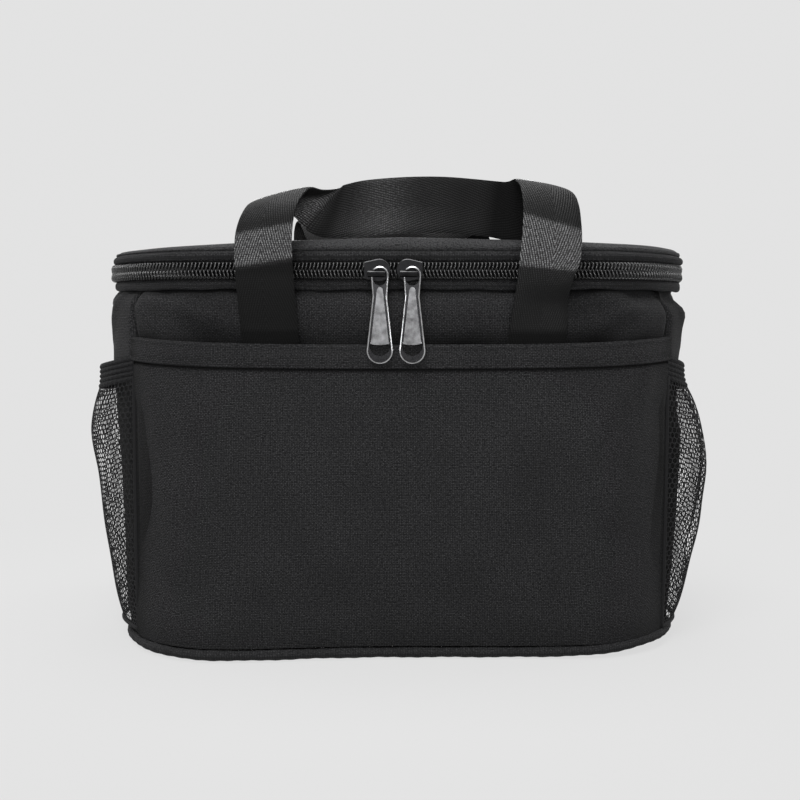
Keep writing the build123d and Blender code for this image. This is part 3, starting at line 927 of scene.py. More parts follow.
def build_rolls():
    """Rolled strips above and below the zip."""
    runs = all_round(420)

    def rim(run):
        tuck = 0.22 * math.sin(run * 0.23) + 0.18 * math.sin(run * 0.071 + 1)
        return oval(-2.6, rim_out + 0.15 + tuck * 0.6, rim_low - 0.5 + tuck, rim_high - 0.05)

    def lid_rim(run):
        tuck = 0.14 * math.sin(run * 0.19 + 2) + 0.14 * math.sin(run * 0.083)
        return oval(-2.6, band_out + tuck, band_low + 0.05, float(band_top(run)), power=2.3)

    for name, section, cloth, body, node in (
        ("rim_roll", rim, "trim cloth", "body", "rim_band"),
        ("lid_band_roll", lid_rim, "heathered cloth", "lid", "lid_side_band"),
    ):
        form = Form()
        form.rings(*swept(runs, section), closed=True)
        form.piece(name, woven(cloth), body, "oxford_cloth", [node])


def build_hinge():
    """Cloth at the back, where the lid folds."""
    x = np.linspace(-straight_x + 0.4, straight_x - 0.4, 60)[:, None]
    z = np.linspace(rim_high - 0.6, band_low + 0.6, 12)
    t = (z - z[0]) / (z[-1] - z[0])
    bow = half_depth + 0.4 + (1.1 + 0.25 * np.sin(x * 0.31)) * np.sin(math.pi * t)
    form = Form()
    form.two_sided(points_of(x, bow, z), points_of(x, bow - CLOTH, z), points_of(x, z))
    hinge = form.piece("hinge_cloth", woven("heathered cloth"), None, "oxford_cloth", ["hinge_strip"])
    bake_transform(hinge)


CORD = 2.3  # radius of the corded edge
CORD_SIDES = 14
FLAP = 6.2  # height on the wall where its stitching lies


def build_corded_edge():
    """Corded edge round the base, and the stitching over it at the back."""
    runs = all_round(520)
    path = points_of(*plan(runs, lean(2.5, runs) + 0.2), 2.6 + foot_lift(runs, 0.0))
    radius = CORD + 0.10 * np.sin(runs * 0.9) + 0.12 * np.sin(runs * 0.21)
    out, up = points_of(*outward(runs), 0), np.array([[0, 0, 1.0]])
    loops = round_loop(path, radius[:, None, None], out, up, CORD_SIDES)
    around = circle(CORD_SIDES)[None, :] * CORD
    form = Form()
    form.rings(loops, points_of(runs[:, None] + around, around), closed=True)
    form.piece("corded_edge", woven("trim cloth"), "body", "piping_cloth", ["bottom_piping"])

    runs = all_round(900)
    runs = runs[np.abs(runs) > back_seam]
    runs = runs[np.argsort(runs % (2 * half_run))]
    flap = points_of(*plan(runs, wall_face(runs, FLAP) + 0.05), FLAP + 0.2 + foot_lift(runs, FLAP))
    form = Form()
    stitches(form, flap, points_of(*outward(runs), 0), pitch=3.4)
    form.piece("edge_stitching", sewing_thread(), "body", "piping_cloth")


def build_bands():
    build_rolls()
    build_hinge()
    build_corded_edge()


# ---------------------------------------------------------------- zip
COIL_THREAD = 0.52  # radius of the nylon
COIL_LEAN = 0.5  # how far a tooth leans along its row
# One tooth: place along the row in leans, share of the way from the tape to the tooth's tip, and how far
# behind the coil's outer face.
TOOTH = np.array(
    [
        (1.0, 0.02, 0.95),
        (0.6, 0.26, 0.55),
        (-0.3, 0.62, 0.70),
        (-1.0, 0.92, 1.05),
        (-1.0, 1.00, 1.45),
        (-0.6, 0.80, 1.85),
        (0.9, 0.10, 1.95),
        (1.0, -0.06, 1.30),
    ]
)
TOOTH_STEP = 0.6  # share of the pitch that a tooth's last point has moved on
TOOTH_ROOT = 0.35  # how far inside the coil's edge a tooth starts
TOOTH_OVERLAP = 0.42  # how far its tip passes the middle between the rows
END_DRAW = 1.2  # how much closer to the walls the coil lies at the right end


def coil_row(down):
    """One row of nylon coil. down is True for the lower row, whose heads point up."""
    pitch = size("tooth_pitch")
    ends = back_run - 1.0
    count = int(2 * ends / pitch) - 2
    way = 1 if down else -1
    tape = (coil_low if down else coil_high) + way * TOOTH_ROOT
    tip = coil_middle + way * TOOTH_OVERLAP
    along = TOOTH[:, 0] * COIL_LEAN
    along[-1] += pitch * TOOTH_STEP
    first = -ends + pitch + (0.0 if down else pitch / 2)
    run = first + np.arange(count)[:, None] * pitch + along
    height = tape + TOOTH[:, 1] * (tip - tape)
    drawn_in = END_DRAW * fade(outward(run)[0]) ** 3
    form = Form()
    tube(form, points_of(*plan(run, coil_out - TOOTH[:, 2] - drawn_in), height).reshape(-1, 3), COIL_THREAD)
    return form


def build_zip():
    runs = np.linspace(-back_run + 0.1, back_run - 0.1, 360)
    for name, body, low, high in (
        ("lower", "body", rim_high - 0.3, coil_split + 0.1),
        ("upper", "lid", coil_join - 0.1, band_low + 0.3),
    ):
        z = np.linspace(low, high, 12)
        ribs = 0.07 * np.abs(np.sin((z - low) * 3.1))
        section = np.r_[np.c_[1.05 + ribs, z], np.c_[0.5 + 0 * z, z][::-1]]
        form = Form()
        form.rings(*swept(runs, lambda run: section))
        form.piece(name + "_tape", woven("zip tape cloth"), body, "zip_tape_cloth", [name + "_zip_tape"])
        coil = coil_row(name == "lower")
        coil.piece(name + "_coil", smooth("coil nylon"), body, "zip_coil", [name + "_zip_coil"], sharp=80)


# ---------------------------------------------------------------- lid
def lid_crown(share):
    return size("lid_crown") * (1 - share**2)


def lid_droop(run):
    """The stuffed lid is lower towards its ends, the left one more."""
    x = plan(run, 0.0)[0] / half_width
    left = curve(np.abs(x), [0, 0.25, 0.5, 0.75, 0.88, 1.0], [0, 0.9, 2.3, 4.1, 4.7, 4.5])
    return np.where(x < 0, left, 3.7 * np.abs(x) ** 1.2)


def band_top(run):
    """Upper edge of the rolled band under the lid: fuller in front than at the ends."""
    return band_high - 0.7 + 1.2 * fade(-outward(run)[1]) ** 2


LID_FACE = -11.0  # place from the plan where the lid's cushion starts to turn down
LID_CHANNEL = -9.6  # place from the plan where it is stitched down
DROOP_POWER = 1.4  # how late the droop sets in on the way out from the middle
# The lid's rolled edge: share of the way out, place from the plan, drop from the lid's top. Below
# EDGE_TURN the drops are shares of EDGE_DROP between the top and the band's upper edge.
EDGE_TURN = -1.5
EDGE_DROP = 5.8
LID_EDGE = [
    (0.88, LID_FACE, 0.0),
    (0.95, LID_FACE, -0.5),
    (1.0, -10.4, -1.4),
    (1.0, LID_CHANNEL, -1.45),
    (1.0, -8.8, -1.4),
    (1.0, -7.4, -0.35),
    (1.0, -5.4, 0.35),
    (1.0, -3.2, 0.5),
    (1.0, -1.2, 0.05),
    (1.0, 0.2, -0.95),
    (1.0, 0.95, -2.2),
    (1.0, 1.15, -3.4),
    (1.0, 0.8, -4.5),
    (1.0, -0.1, -5.3),
    (1.0, -1.3, -5.8),
]


def build_lid_cushion(runs, droop):
    def lid_row(share, depth):
        """Row of the lid's top at a depth under it."""
        return share, LID_FACE, lid_high - depth + lid_crown(share) - droop * share**DROOP_POWER

    rows = []
    for share in (0.03, 0.12, 0.24, 0.36, 0.48, 0.6, 0.7, 0.79):
        puff = swell(runs * share, share * 90, 12, 60, 0.35) * share
        rows.append(lid_row(share, 0.7 - puff))
    wave = 0.18 * np.sin(runs * 0.11 + 1) + 0.14 * np.sin(runs * 0.047)
    foot = band_top(runs) - 0.5
    for share, out, drop in LID_EDGE:
        top = lid_high + 0.5 - droop * share**DROOP_POWER + 0.4 * wave
        if drop > EDGE_TURN:
            height = top + drop - 0.5 + (lid_crown(share) if share < 1 else 0.0)
        else:
            height = foot + (top - foot) * (EDGE_DROP + drop) / (EDGE_DROP + 0.5)
        rows.append((share, out + (wave if out > -6 else 0.0), height))
    rows += [(1.0, -2.3, foot - 1.6), (1.0, -2.7, foot - 1.6), (1.0, -2.8, foot)]
    rows += [(1.0, -4.0, lid_high - 1.8 - droop), (1.0, LID_CHANNEL, lid_high - 3.0 - droop)]
    rows += [lid_row(share, 1.8) for share in (0.9, 0.6, 0.3, 0.03)]
    form = flat_form(runs, rows)
    top = form.piece("lid_cushion_cloth", woven("lid cloth"), "lid", "oxford_cloth", ["lid_top_panel"])

    rows = [lid_row(share, 2.0) for share in (0.03, 0.3, 0.6, 0.9)]
    rows += [(1.0, LID_CHANNEL, lid_high - 3.3 - droop), (1.0, -4.2, lid_high - 1.9 - droop)]
    rows += [(1.0, -3.2, lid_high - 4.0 - 0.6 * droop), (1.0, -3.2, lid_high - 8.0)]
    rows += [(share, LID_FACE, lid_high - 8.6) for share in (0.9, 0.5, 0.03)]
    form = flat_form(runs, rows)
    pad = form.piece("lid_padding", smooth("foam cells"), "lid", "insulation_foam", ["lid_foam"])


LINING_DEPTH = 9.3  # how far under the lid's top its lining lies


def build_lid_lining(runs):
    under = lid_high - LINING_DEPTH

    def crease(share, seed, wave, height):
        return np.abs(swell(runs * share, share * 90, seed, wave, height))

    shares = np.linspace(0.03, 0.9, 12)
    rows = [(share, -9.0, under + 0.55 - 0.2 * crease(share, 41, 20, 0.32)) for share in shares]
    rows += [(1.0, -4.0, under + 0.5), (1.0, -2.95, under + 0.1), (1.0, -4.0, under - 0.4)]
    for share in shares[::-1]:
        rows.append((share, -9.0, under - 0.1 - crease(share, 41, 20, 0.32) - crease(share, 43, 9, 0.12)))
    form = flat_form(runs, rows)
    lining = form.piece("lid_foil", smooth("silver lining"), "lid", "foil_lining", ["lid_liner"])


def build_lid():
    runs = all_round(300)
    build_lid_cushion(runs, lid_droop(runs))
    build_lid_lining(runs)
    runs = all_round(700)
    path = points_of(*plan(runs, LID_CHANNEL), lid_high - 1.9 - lid_droop(runs))
    form = Form()
    stitches(form, np.r_[path, path[:1]], np.tile([0, 0, 1.0], (len(path) + 1, 1)), pitch=3.6)
    form.piece("lid_stitching", sewing_thread(), "lid", "oxford_cloth")


# ---------------------------------------------------------------- pockets
def pouch_row(share, flat, front, edge_along, edge_deep):
    """Plan of a pocket: straight in the middle, then an arc to the seam. share is 0 at the middle and 1
    at the seam."""
    run, drop = edge_along - flat, front - edge_deep
    radius = (run * run + drop * drop) / (2 * drop)
    turn = np.arctan2(run, radius - drop)
    way = np.abs(share) * (flat + radius * turn)
    angle = np.clip((way - flat) / radius, 0, None)
    along = np.where(way < flat, way, flat + radius * np.sin(angle))
    deep = front - radius * (1 - np.cos(angle))
    return np.sign(share) * along, deep


def grid_normals(points, outside):
    """Unit normals of a grid of points, turned towards outside."""
    normal = unit(np.cross(np.gradient(points, axis=0), np.gradient(points, axis=1)))
    return normal * np.sign((normal * outside).sum(-1, keepdims=True))


def laid_form(points, normals, outer, inner, cloth):
    """Cloth laid on a grid of points, between two offsets."""
    form = Form()
    form.two_sided(*(points + normals * np.asarray(offset)[..., None] for offset in (outer, inner)), cloth)
    return form


FRONT_FLAT = 70.0  # half of the front pocket's straight middle
POCKET_STAND = 5.7  # how far its middle stands before the front
FRONT_LIFT = 3.2  # how much higher its mouth is at the seams
# Waves of the front pocket's cloth, as ridges() takes them.
PANEL_RIDGES = [
    (-116, 128, -104, 60, 5.0, 0.9),
    (116, 126, 100, 70, 5.0, 1.1),
    (108, 128, 84, 96, 4.0, 0.8),
    (-104, 128, -84, 100, 4.0, 0.7),
    (60, 40, 104, 14, 8.0, 0.8),
    (-66, 36, -108, 14, 8.0, 0.8),
    (20, 128, 10, 70, 16.0, -0.9),
    (-20, 96, -36, 50, 18.0, 0.9),
    (76, 84, 60, 40, 16.0, -0.8),
]


def front_grid(share, z):
    """Points of the front pocket's cloth and its outward direction."""
    s, h = np.meshgrid(share, z, indexing="ij")
    full = 0.5 - 0.5 * np.cos(math.pi * fade((h - pocket_low) / 42))
    edge = seam_at(s)
    run = s * edge
    wx, wy = plan(run, lean(h, run) + 1.3)
    sx, sy = plan(edge, lean(h, edge) + 0.9 + 0.7 * fade((h - 108) / 8))
    loose = swell(run, h, 17, 90, 0.5) + ridges(run, h, PANEL_RIDGES)
    px, py = pouch_row(s, FRONT_FLAT, half_depth + POCKET_STAND + 0.25 * lean(h), sx, -sy)
    near_seam = hump((np.abs(s) - 1) * front_seam, 0, 3.0)
    lift = FRONT_LIFT * np.abs(s) ** 3 * fade(h / hem_high) ** 2
    x = wx + (px - wx) * full
    y = wy + (-py - wy) * full - loose * full * (1 - near_seam)
    points = points_of(x, y, h + lift + foot_lift(run, h) * 0.9)
    return points, points_of(np.sin(s * math.pi / 4), -np.cos(s * math.pi / 4), 0)


# Section of the pocket's hem: height, then its outer face's and its inner face's stand.
HEM_OUTER = (
    [129.8, 130.0, 131.0, 131.8, 133.5, 138, 140.1, 140.5],
    [0.3, 1.05, 0.95, 0.85, 1.2, 1.25, 1.0, 0.1],
)
HEM_INNER = ([129.8, 132, 138, 140.5], [-1.2, -1.4, -1.3, -0.3])
HEM_LINE = (131.0, 131.2, 131.4)  # heights on both sides of the hem's stitching


def build_front_pocket():
    turn = math.pi / 2 * 0.94
    share = np.sin(np.linspace(-1, 1, 150) * turn) / math.sin(turn)
    parts = ((pocket_low + 0.2, 20, 12), (22, 124, 42), (126, hem_low + 1.2, 14))
    levels = np.concatenate([np.linspace(*part) for part in parts])
    points, outside = front_grid(share, levels)
    s, h = np.meshgrid(share * front_seam, levels, indexing="ij")
    # painted shade of the pocket's cloth: at its seams, in a line under the hem, and darker towards the
    # bottom
    sides = 0.55 * hump(np.abs(s), front_seam, 8)
    line = 0.95 * hump(h, hem_low - 0.6, 0.9)
    foot = 0.3 * fade((20 - h) / 14) + 0.1 * fade((110 - h) / 40)
    groove = -0.55 * hump(h, hem_low - 0.9, 0.8)
    cloth = points_of(s, h, fade(sides + line + foot))
    form = laid_form(points, grid_normals(points, outside), groove, groove - CLOTH, cloth)
    panel = form.piece("pocket_panel", woven("heathered cloth"), "body", "oxford_cloth", ["front_pocket"])

    body = np.linspace(hem_low + 0.8, hem_high, 18)
    levels = np.r_[hem_low - 0.2, hem_low, hem_low + 0.3, body, hem_high + 0.3, hem_high + 0.5]
    points, outside = front_grid(share, levels)
    s, h = np.meshgrid(share * front_seam, levels, indexing="ij")
    outer = curve(h, *HEM_OUTER) + 0.12 * swell(s, h, 23, 26, 1.0)
    # painted shade beside the seams
    cloth = points_of(s, h, 0.55 * hump(np.abs(s), front_seam, 5))
    form = laid_form(points, grid_normals(points, outside), outer, curve(h, *HEM_INNER), cloth)
    hem = form.piece("pocket_hem", woven("heathered cloth"), "body", "oxford_cloth", ["front_pocket_hem"])

    points, outside = front_grid(np.linspace(-0.985, 0.985, 300), HEM_LINE)
    normals = grid_normals(points, outside)[:, 1]
    form = Form()
    stitches(form, points[:, 1] + normals * 0.9, normals, pitch=3.2, lift=0.08)
    thread = form.piece("hem_stitching", sewing_thread(), "body", "oxford_cloth")


SIDE_FLAT = 27.0  # half of an end pocket's straight middle
SIDE_HALF = 66  # half of its width, for its waves
SIDE_LIFT = 7.4  # how much higher its mouth is at the seams
RIGHT_FOLD = 3.0  # depth of the upright fold in the right pocket
# How far each end pocket's middle stands out from the bag's end: heights and distances.
STANDS = {
    "left": ([5, 14, 32, 49, 76, 100, 113, 117, 130], [-3.4, -1.0, 3.2, 7.0, 9.4, 13.2, 10.6, 9.2, 8.8]),
    "right": (
        [5, 12, 22, 41, 60, 80, 96, 113, 118, 130],
        [-3.2, 0.2, 3.8, 8.0, 12.6, 14.8, 13.0, 6.8, 3.9, 3.1],
    ),
}
SIDE_SIGN = {"left": -1.0, "right": 1.0}
SAG_SEED = {"left": 51, "right": 52}
HOLE_SEED = {"left": 7, "right": 9}


def side_grid(side, share, z):
    """Points of an end pocket. share goes from the front seam, -1, to the back seam, 1."""
    s, h = np.broadcast_arrays(share, z)
    edge = np.where((s < 0) & (side == "right"), right_seam, front_seam)
    sx, sy = plan(edge, lean(h, edge) + 0.9)
    along, deep = pouch_row(s, SIDE_FLAT, half_width + curve(h, *STANDS[side]), -sy, sx)
    sag = swell(s * SIDE_HALF, h, SAG_SEED[side], 34, 0.55) * (1 - s**4) * np.clip((118 - h) / 20, 0.2, 1)
    if side == "right":
        fold = hump(s, -0.42 - 0.0006 * (h - 60), 0.055) * fade((h - 30) / 20) * fade((122 - h) / 10)
        sag = sag - RIGHT_FOLD * fold
    lift = SIDE_LIFT * s * s * fade(h / 116) ** 3
    run = front_seam + (s + 1) / 2 * (back_seam - front_seam)
    return points_of(SIDE_SIGN[side] * (deep + sag), along, h + lift + foot_lift(run, h))


NET_WIDTH = 168.0  # of the net pulled flat
NET_THREAD = 0.3
CELL_RATIO = 1.22  # width of a column, of the pitch
HOLE_SHARE = (0.80, 0.89)  # a hole's reach, of its cell's
HEX_ROW = 0.866  # distance of two rows of a honeycomb, of its pitch


def net_form(side, low, high):
    """Knitted net: a honeycomb of threads with a hole in each cell."""
    pitch = size("net_pitch")
    row_gap = pitch * HEX_ROW
    columns = int(NET_WIDTH / (CELL_RATIO * pitch))
    j, i = np.meshgrid(np.arange(int((high - low) / row_gap)), np.arange(columns), indexing="ij")
    centres = points_of((i + 0.5 * (j % 2) + 0.25) / columns * 2 - 1, low + (j + 0.5) * row_gap)
    centres = centres.reshape(-1, 1, 2)
    turn = np.arange(6) * math.pi / 3 + math.pi / 6
    corner = points_of(np.cos(turn) * 2 / columns, np.sin(turn) * pitch)[None] / math.sqrt(3)
    outer = (centres + corner).reshape(-1, 2)
    shrink = np.random.RandomState(HOLE_SEED[side]).uniform(*HOLE_SHARE, (len(centres), 1, 1))
    inner = (centres + corner * shrink).reshape(-1, 2)
    keys = np.round(outer / [1e-4, 1e-3]).astype(np.int64)
    _, first, index = np.unique(keys, axis=0, return_index=True, return_inverse=True)
    flat = np.r_[outer[first], inner]
    flat[:, 0] = np.clip(flat[:, 0], -1, 1)
    s, h = flat.T
    step = 1e-3
    du = side_grid(side, s + step, h) - side_grid(side, s - step, h)
    dv = side_grid(side, s, h + step) - side_grid(side, s, h - step)
    half = unit(np.cross(du, dv)) * NET_THREAD / 2
    o = index.reshape(-1, 6)
    n = len(first) + np.arange(len(inner)).reshape(-1, 6)
    o2, n2 = np.roll(o, -1, 1), np.roll(n, -1, 1)
    count = len(flat)
    front = points_of(o, o2, n2, n).reshape(-1, 4)
    hole = points_of(n, n2, n2 + count, n + count).reshape(-1, 4)
    pairs = points_of(o, o2).reshape(-1, 2)
    _, where, uses = np.unique(np.sort(pairs, 1), axis=0, return_inverse=True, return_counts=True)
    one, two = pairs[uses[where.reshape(-1)] == 1].T
    border = points_of(two, one, one + count, two + count)
    points, cloth = side_grid(side, s, h), flat * [NET_WIDTH / 2, 1.0]
    faces = np.r_[front, front[:, ::-1] + count, hole, border].tolist()
    form = Form()
    form.add(np.r_[points + half, points - half], np.r_[cloth, cloth], faces)
    return form


def elastic_form(side, outside):
    """Ribbed elastic at the mouth of an end pocket."""
    s, h = np.meshgrid(np.linspace(-1, 1, 220), np.linspace(elastic_low, elastic_high, 51), indexing="ij")
    points = side_grid(side, s, h)
    way = (h - elastic_low) / (elastic_high - elastic_low)
    ribs = 0.1 + 0.62 * np.abs(np.sin(5 * math.pi * way)) * np.sin(math.pi * np.clip(way, 0.04, 0.96)) ** 0.2
    pucker = 0.14 * np.sin(s * SIDE_HALF * 1.9) * (1 - 0.6 * way)
    cloth = points_of(s * NET_WIDTH / 2, h)
    return laid_form(points, grid_normals(points, outside), ribs + pucker, -0.9 - 0.2 * ribs, cloth)


def build_net_pockets():
    for side, sign in SIDE_SIGN.items():
        outside = np.array([sign, 0, 0])
        low, high = pocket_low + 0.8, elastic_low + 1.6
        form = net_form(side, low, high)
        net = form.piece(side + "_net", woven("net thread"), "body", "net", [side + "_mesh_pocket"], sharp=70)
        form = elastic_form(side, outside)
        node = side + "_pocket_elastic"
        elastic = form.piece(side + "_elastic", woven("ribbed elastic"), "body", "elastic", [node])

        down = np.linspace(elastic_low + 2, pocket_low + 1.2, 60)
        across = np.linspace(-1, 1, 90)[1:-1]
        border = ((-1.0, down), (across, pocket_low + 1.0), (1.0, down[::-1]))
        form = Form()
        tube(form, np.concatenate([side_grid(side, *line) for line in border]), radius=1.1, sides=8)
        binding = form.piece(side + "_net_binding", woven("trim cloth"), "body", "oxford_cloth")

        line = side_grid(side, np.linspace(-0.97, 0.97, 200), elastic_low + 1.0)
        form = Form()
        stitches(form, line, np.tile(outside, (len(line), 1)), pitch=3.0, lift=0.45, share=0.8)
        thread = form.piece(side + "_elastic_stitching", sewing_thread(), "body", "elastic")


# ---------------------------------------------------------------- handles
# Each row has the places of the webbing's two edges: x, y, z of the outer or lower one, then of the inner
# or upper one.
FRONT_HANDLE = [
    (-69.3, -85.7, 96.5, -43.9, -85.7, 96.5),
    (-69.3, -85.7, 118, -43.9, -85.7, 118),
    (-69.4, -86.3, 136, -44.0, -86.3, 136),
    (-69.6, -88.2, 146, -44.2, -88.2, 146),
    (-70.3, -92.0, 157, -44.9, -92.0, 157),
    (-71.0, -95.4, 169, -45.7, -95.4, 169),
    (-71.4, -97.0, 181, -46.2, -97.0, 181),
    (-70.6, -97.4, 190.5, -46.0, -97.4, 191.5),
    (-68.6, -96.6, 197.0, -45.0, -96.6, 199.0),
    (-66.6, -94.2, 201.2, -43.8, -94.2, 203.6),
    (-65.0, -91.2, 203.2, -42.0, -90.0, 207.4),
    (-63.2, -88.0, 203.8, -39.5, -85.0, 210.8),
    (-58.0, -83.6, 202.8, -34.2, -80.8, 210.2),
    (-51.5, -80.6, 200.5, -28.8, -78.6, 210.6),
    (-46.6, -79.4, 197.7, -26.2, -77.4, 211.4),
    (-43.1, -78.6, 194.0, -25.2, -77.6, 211.9),
    (-40.0, -77.4, 190.9, -25.3, -78.0, 211.8),
    (-35.5, -76.4, 189.2, -25.0, -78.4, 212.2),
    (-28.0, -75.6, 188.9, -21.5, -78.6, 213.2),
    (-18.0, -76.8, 189.3, -16.0, -77.6, 214.4),
    (-7.0, -77.4, 190.1, -7.0, -77.2, 215.4),
    (7.7, -76.4, 190.8, 7.7, -77.8, 216.2),
    (23.6, -75.4, 190.8, 23.5, -78.4, 216.0),
    (33.0, -75.6, 189.9, 35.5, -78.4, 215.0),
    (42.0, -76.4, 188.9, 45.0, -78.6, 214.0),
    (52.0, -78.2, 186.9, 48.5, -79.0, 213.7),
    (60.0, -79.5, 187.4, 50.3, -80.6, 213.9),
    (66.5, -81.5, 194.3, 51.2, -82.0, 214.3),
    (71.0, -84.2, 200.0, 51.8, -83.6, 214.5),
    (74.0, -87.2, 206.0, 52.2, -85.6, 214.5),
    (75.8, -90.0, 208.2, 52.6, -87.4, 214.0),
    (77.6, -93.0, 206.6, 53.6, -91.0, 211.8),
    (79.0, -95.4, 202.2, 54.4, -94.4, 207.0),
    (79.9, -97.0, 194.2, 54.7, -96.8, 199.0),
    (80.2, -97.5, 186.2, 54.3, -97.4, 190.0),
    (79.6, -97.2, 177.5, 53.3, -97.2, 180.2),
    (76.3, -95.6, 168.2, 52.3, -95.6, 169.6),
    (75.1, -89.0, 157.8, 51.0, -92.2, 158.4),
    (74.9, -88.2, 146, 49.4, -88.2, 146),
    (73.8, -86.3, 136, 48.4, -86.3, 136),
    (73.7, -85.7, 118, 48.3, -85.7, 118),
    (73.7, -85.7, 96.5, 48.3, -85.7, 96.5),
]
# Painted shade where the webbing lies in its own fold and, below 0, painted highlight: row of the table
# above, spread, depth.
PAINTED_FOLD_LIGHT = [
    (16.8, 5.0, 0.95),
    (26.0, 16.0, 1.6),
    (8.0, 12.0, 0.5),
    (14.4, 6.0, -0.75),
    (20.0, 11.0, -0.22),
    (22.4, 9.0, 0.4),
]
TOP_FOLD_ROW = 12  # row where the left fold's upper edge turns; painted shade darkens that edge
GRIP_ROW = 10  # the webbing stands upright up to this row, and from as many rows before the end
SEWN_TOP = 160  # under this height the back webbing lies on the wall
LEAST_SEWN_Y = -84.3  # nearest the back handle's sewn ends come to the middle, before it is turned round
BEND = (141.5, 150.5)  # heights where the webbing leaves its sewn ends and where it swings freely
FRONT_SEWN_Y = -89.5
BACK_SEWN_Y = 86.5
SQUARE_LOW = 99.0  # lower edge of the sewn squares
SQUARE_INSET = 2.6  # from the webbing's edges


def back_handle_points():
    """The back handle is the front one turned round, sewn straight to the back wall."""
    rows = []
    for x0, y0, z0, x1, y1, z1 in FRONT_HANDLE:
        y0, y1 = (max(y, LEAST_SEWN_Y) if z < 140 else y for y, z in ((y0, z0), (y1, z1)))
        middle, half = (x0 + x1) / 2, (x1 - x0) / 2
        z0 += 3.0 * math.exp(-(((z0 - 203) / 7) ** 2)) * (x0 > 60)
        drawn_in = 0.21 if middle > 0 else 0.18
        middle *= 0.97 - drawn_in * min(max(((z0 + z1) / 2 - 150) / 45, 0.0), 1.0)
        rows.append((half - middle, -y0, z0, -half - middle, -y1, z1))
    return rows


def back_wall_y(x, z):
    """y of the back wall's outer cloth."""
    return half_depth + wall_face(np.where(x < 0, -1.0, 1.0) * (half_run - np.abs(x)), z)


def painted_webbing_light(run, across, height, whole, pocket_top):
    """Painted light on the webbing's outer side: painted highlight where it crosses the zip, painted shade
    above that and under it.
    """
    left = run < whole / 2
    low_end = np.where(left, 176.1 + 0.16 * across, 173.6 + 0.02 * across)
    high_end = np.where(left, 192.1 + 0.15 * across, 194.9 + 0.10 * across)
    painted_glint = 0.8 * fade((height - low_end) / 1.2) * fade((high_end - height) / 1.6)
    above = 0.5 * fade((height - high_end) / 1.6) * np.exp(-np.clip(height - high_end, 0, 60) / 7)
    under = np.where(left, 0.66 + 0.15 * fade((height - 170) / 3), 0.3 + 0.2 * fade((158 - height) / 12))
    under = np.where(pocket_top > 0, under, 0.3) + 0.5 * fade((pocket_top + 8 - height) / 3)
    return above - painted_glint + under * fade((low_end - height) / 1.2)


def webbing(rows, pocket_top, wall_y=None):
    """A flat woven band between two edges, bowed a little across. Returns its form and its length."""
    width, thickness = size("webbing_width"), size("webbing_thickness")
    rows = np.array(rows, float)
    reach = reach_along((rows[:, :3] + rows[:, 3:]) / 2)
    whole = reach[-1]
    at = np.linspace(0, whole, 340)
    one, two = (np.stack([curve(at, reach, rows[:, k + j]) for k in range(3)], -1) for j in (0, 3))
    middle, across = (one + two) / 2, (two - one) / 2
    face = unit(np.cross(turns(middle), across))[:, None]
    steps = np.linspace(-1, 1, 25)
    edge = thickness / 2 * (1 - 0.55 * np.abs(steps) ** 10)
    bow = 0.5 - 0.8 * (1 - steps**2) + 0.1 * np.sin(steps * 3.0)
    top = middle[:, None] + across[:, None] * steps[:, None] + face * bow[:, None]
    if wall_y:
        x, y, z = np.moveaxis(top, -1, 0)
        y[:] = np.where(z < SEWN_TOP, np.maximum(y, wall_y(x, z) + thickness / 2 + 0.1), y)
    up = face * edge[:, None]
    u, v = np.meshgrid(at, steps * width / 2, indexing="ij")
    # painted shade and highlight of the inner side, then of the outer side, which keeps a faint painted
    # highlight on the grip
    shade = 1.5 * fade((v - 1) / 7) * hump(u, reach[TOP_FOLD_ROW], 9.0)
    for row, spread, deep in PAINTED_FOLD_LIGHT:
        shade = shade + deep * hump(u, np.interp(row, np.arange(len(rows)), reach), spread)
    outside = np.clip(painted_webbing_light(u, v, middle[:, 2:], whole, pocket_top), -1, 1)
    upright = (u < reach[GRIP_ROW]) | (u > reach[-1 - GRIP_ROW])
    form = Form()
    form.two_sided(
        top + up,
        top - up,
        points_of(u, v, np.clip(shade, -1, 1)),
        points_of(u, v, np.where(upright, outside, -0.05)),
    )
    return form, whole


def crossed_squares(middles, half, low):
    """Stitching of sewn ends: a square with both diagonals round each middle, on the back wall."""
    form = Form()
    high = low + 2 * half
    corners = [(-half, low), (half, low), (half, high), (-half, high)]
    lines = [(0, 1), (1, 2), (2, 3), (3, 0), (0, 2), (1, 3)]
    t = np.linspace(0, 1, 12)
    for middle in middles:
        for start, end in lines:
            (x0, z0), (x1, z1) = corners[start], corners[end]
            x, z = middle + x0 + (x1 - x0) * t, z0 + (z1 - z0) * t
            path = points_of(x, back_wall_y(x, z) + size("webbing_thickness") + 0.25, z)
            stitches(form, path, np.tile([0, 1.0, 0], (len(t), 1)), pitch=3.2)
    return form.piece("back_webbing_stitching", sewing_thread(), "body", "webbing")


def build_handles():
    width = size("webbing_width")
    rows = back_handle_points()
    for side, y, form, whole in (
        ("front", FRONT_SEWN_Y, *webbing(FRONT_HANDLE, hem_high)),
        ("back", BACK_SEWN_Y, *webbing(rows, 0.0, back_wall_y)),
    ):
        nodes = [side + "_handle", side + "_handle_ends"]
        handle = form.piece(side + "_webbing", webbing_cloth(), None, "webbing", nodes)
        start, end = ((0, y * MM, z * MM) for z in BEND)
        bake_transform(handle)
        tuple(start)
        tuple(end)
        if side == "back":
            middles = [(row[0] + row[3]) / 2 for row in (rows[0], rows[-1])]
            crossed_squares(middles, width / 2 - SQUARE_INSET, SQUARE_LOW)


# ---------------------------------------------------------------- metal
BEVEL = 0.12  # rounding of the metal's edges
SLANTING = (0.45, 0.9)  # how much of its length the normal of a face with painted highlight has along y


def smooth_faces(mesh, *names, sharp):
    """Gives a mesh its smooth finishes, in this order, and shades it smooth."""
    mesh.materials.clear()
    for name in names:
        mesh.materials.append(smooth(name))
    mesh.shade_smooth()
    mesh.set_sharp_from_angle(angle=math.radians(sharp))


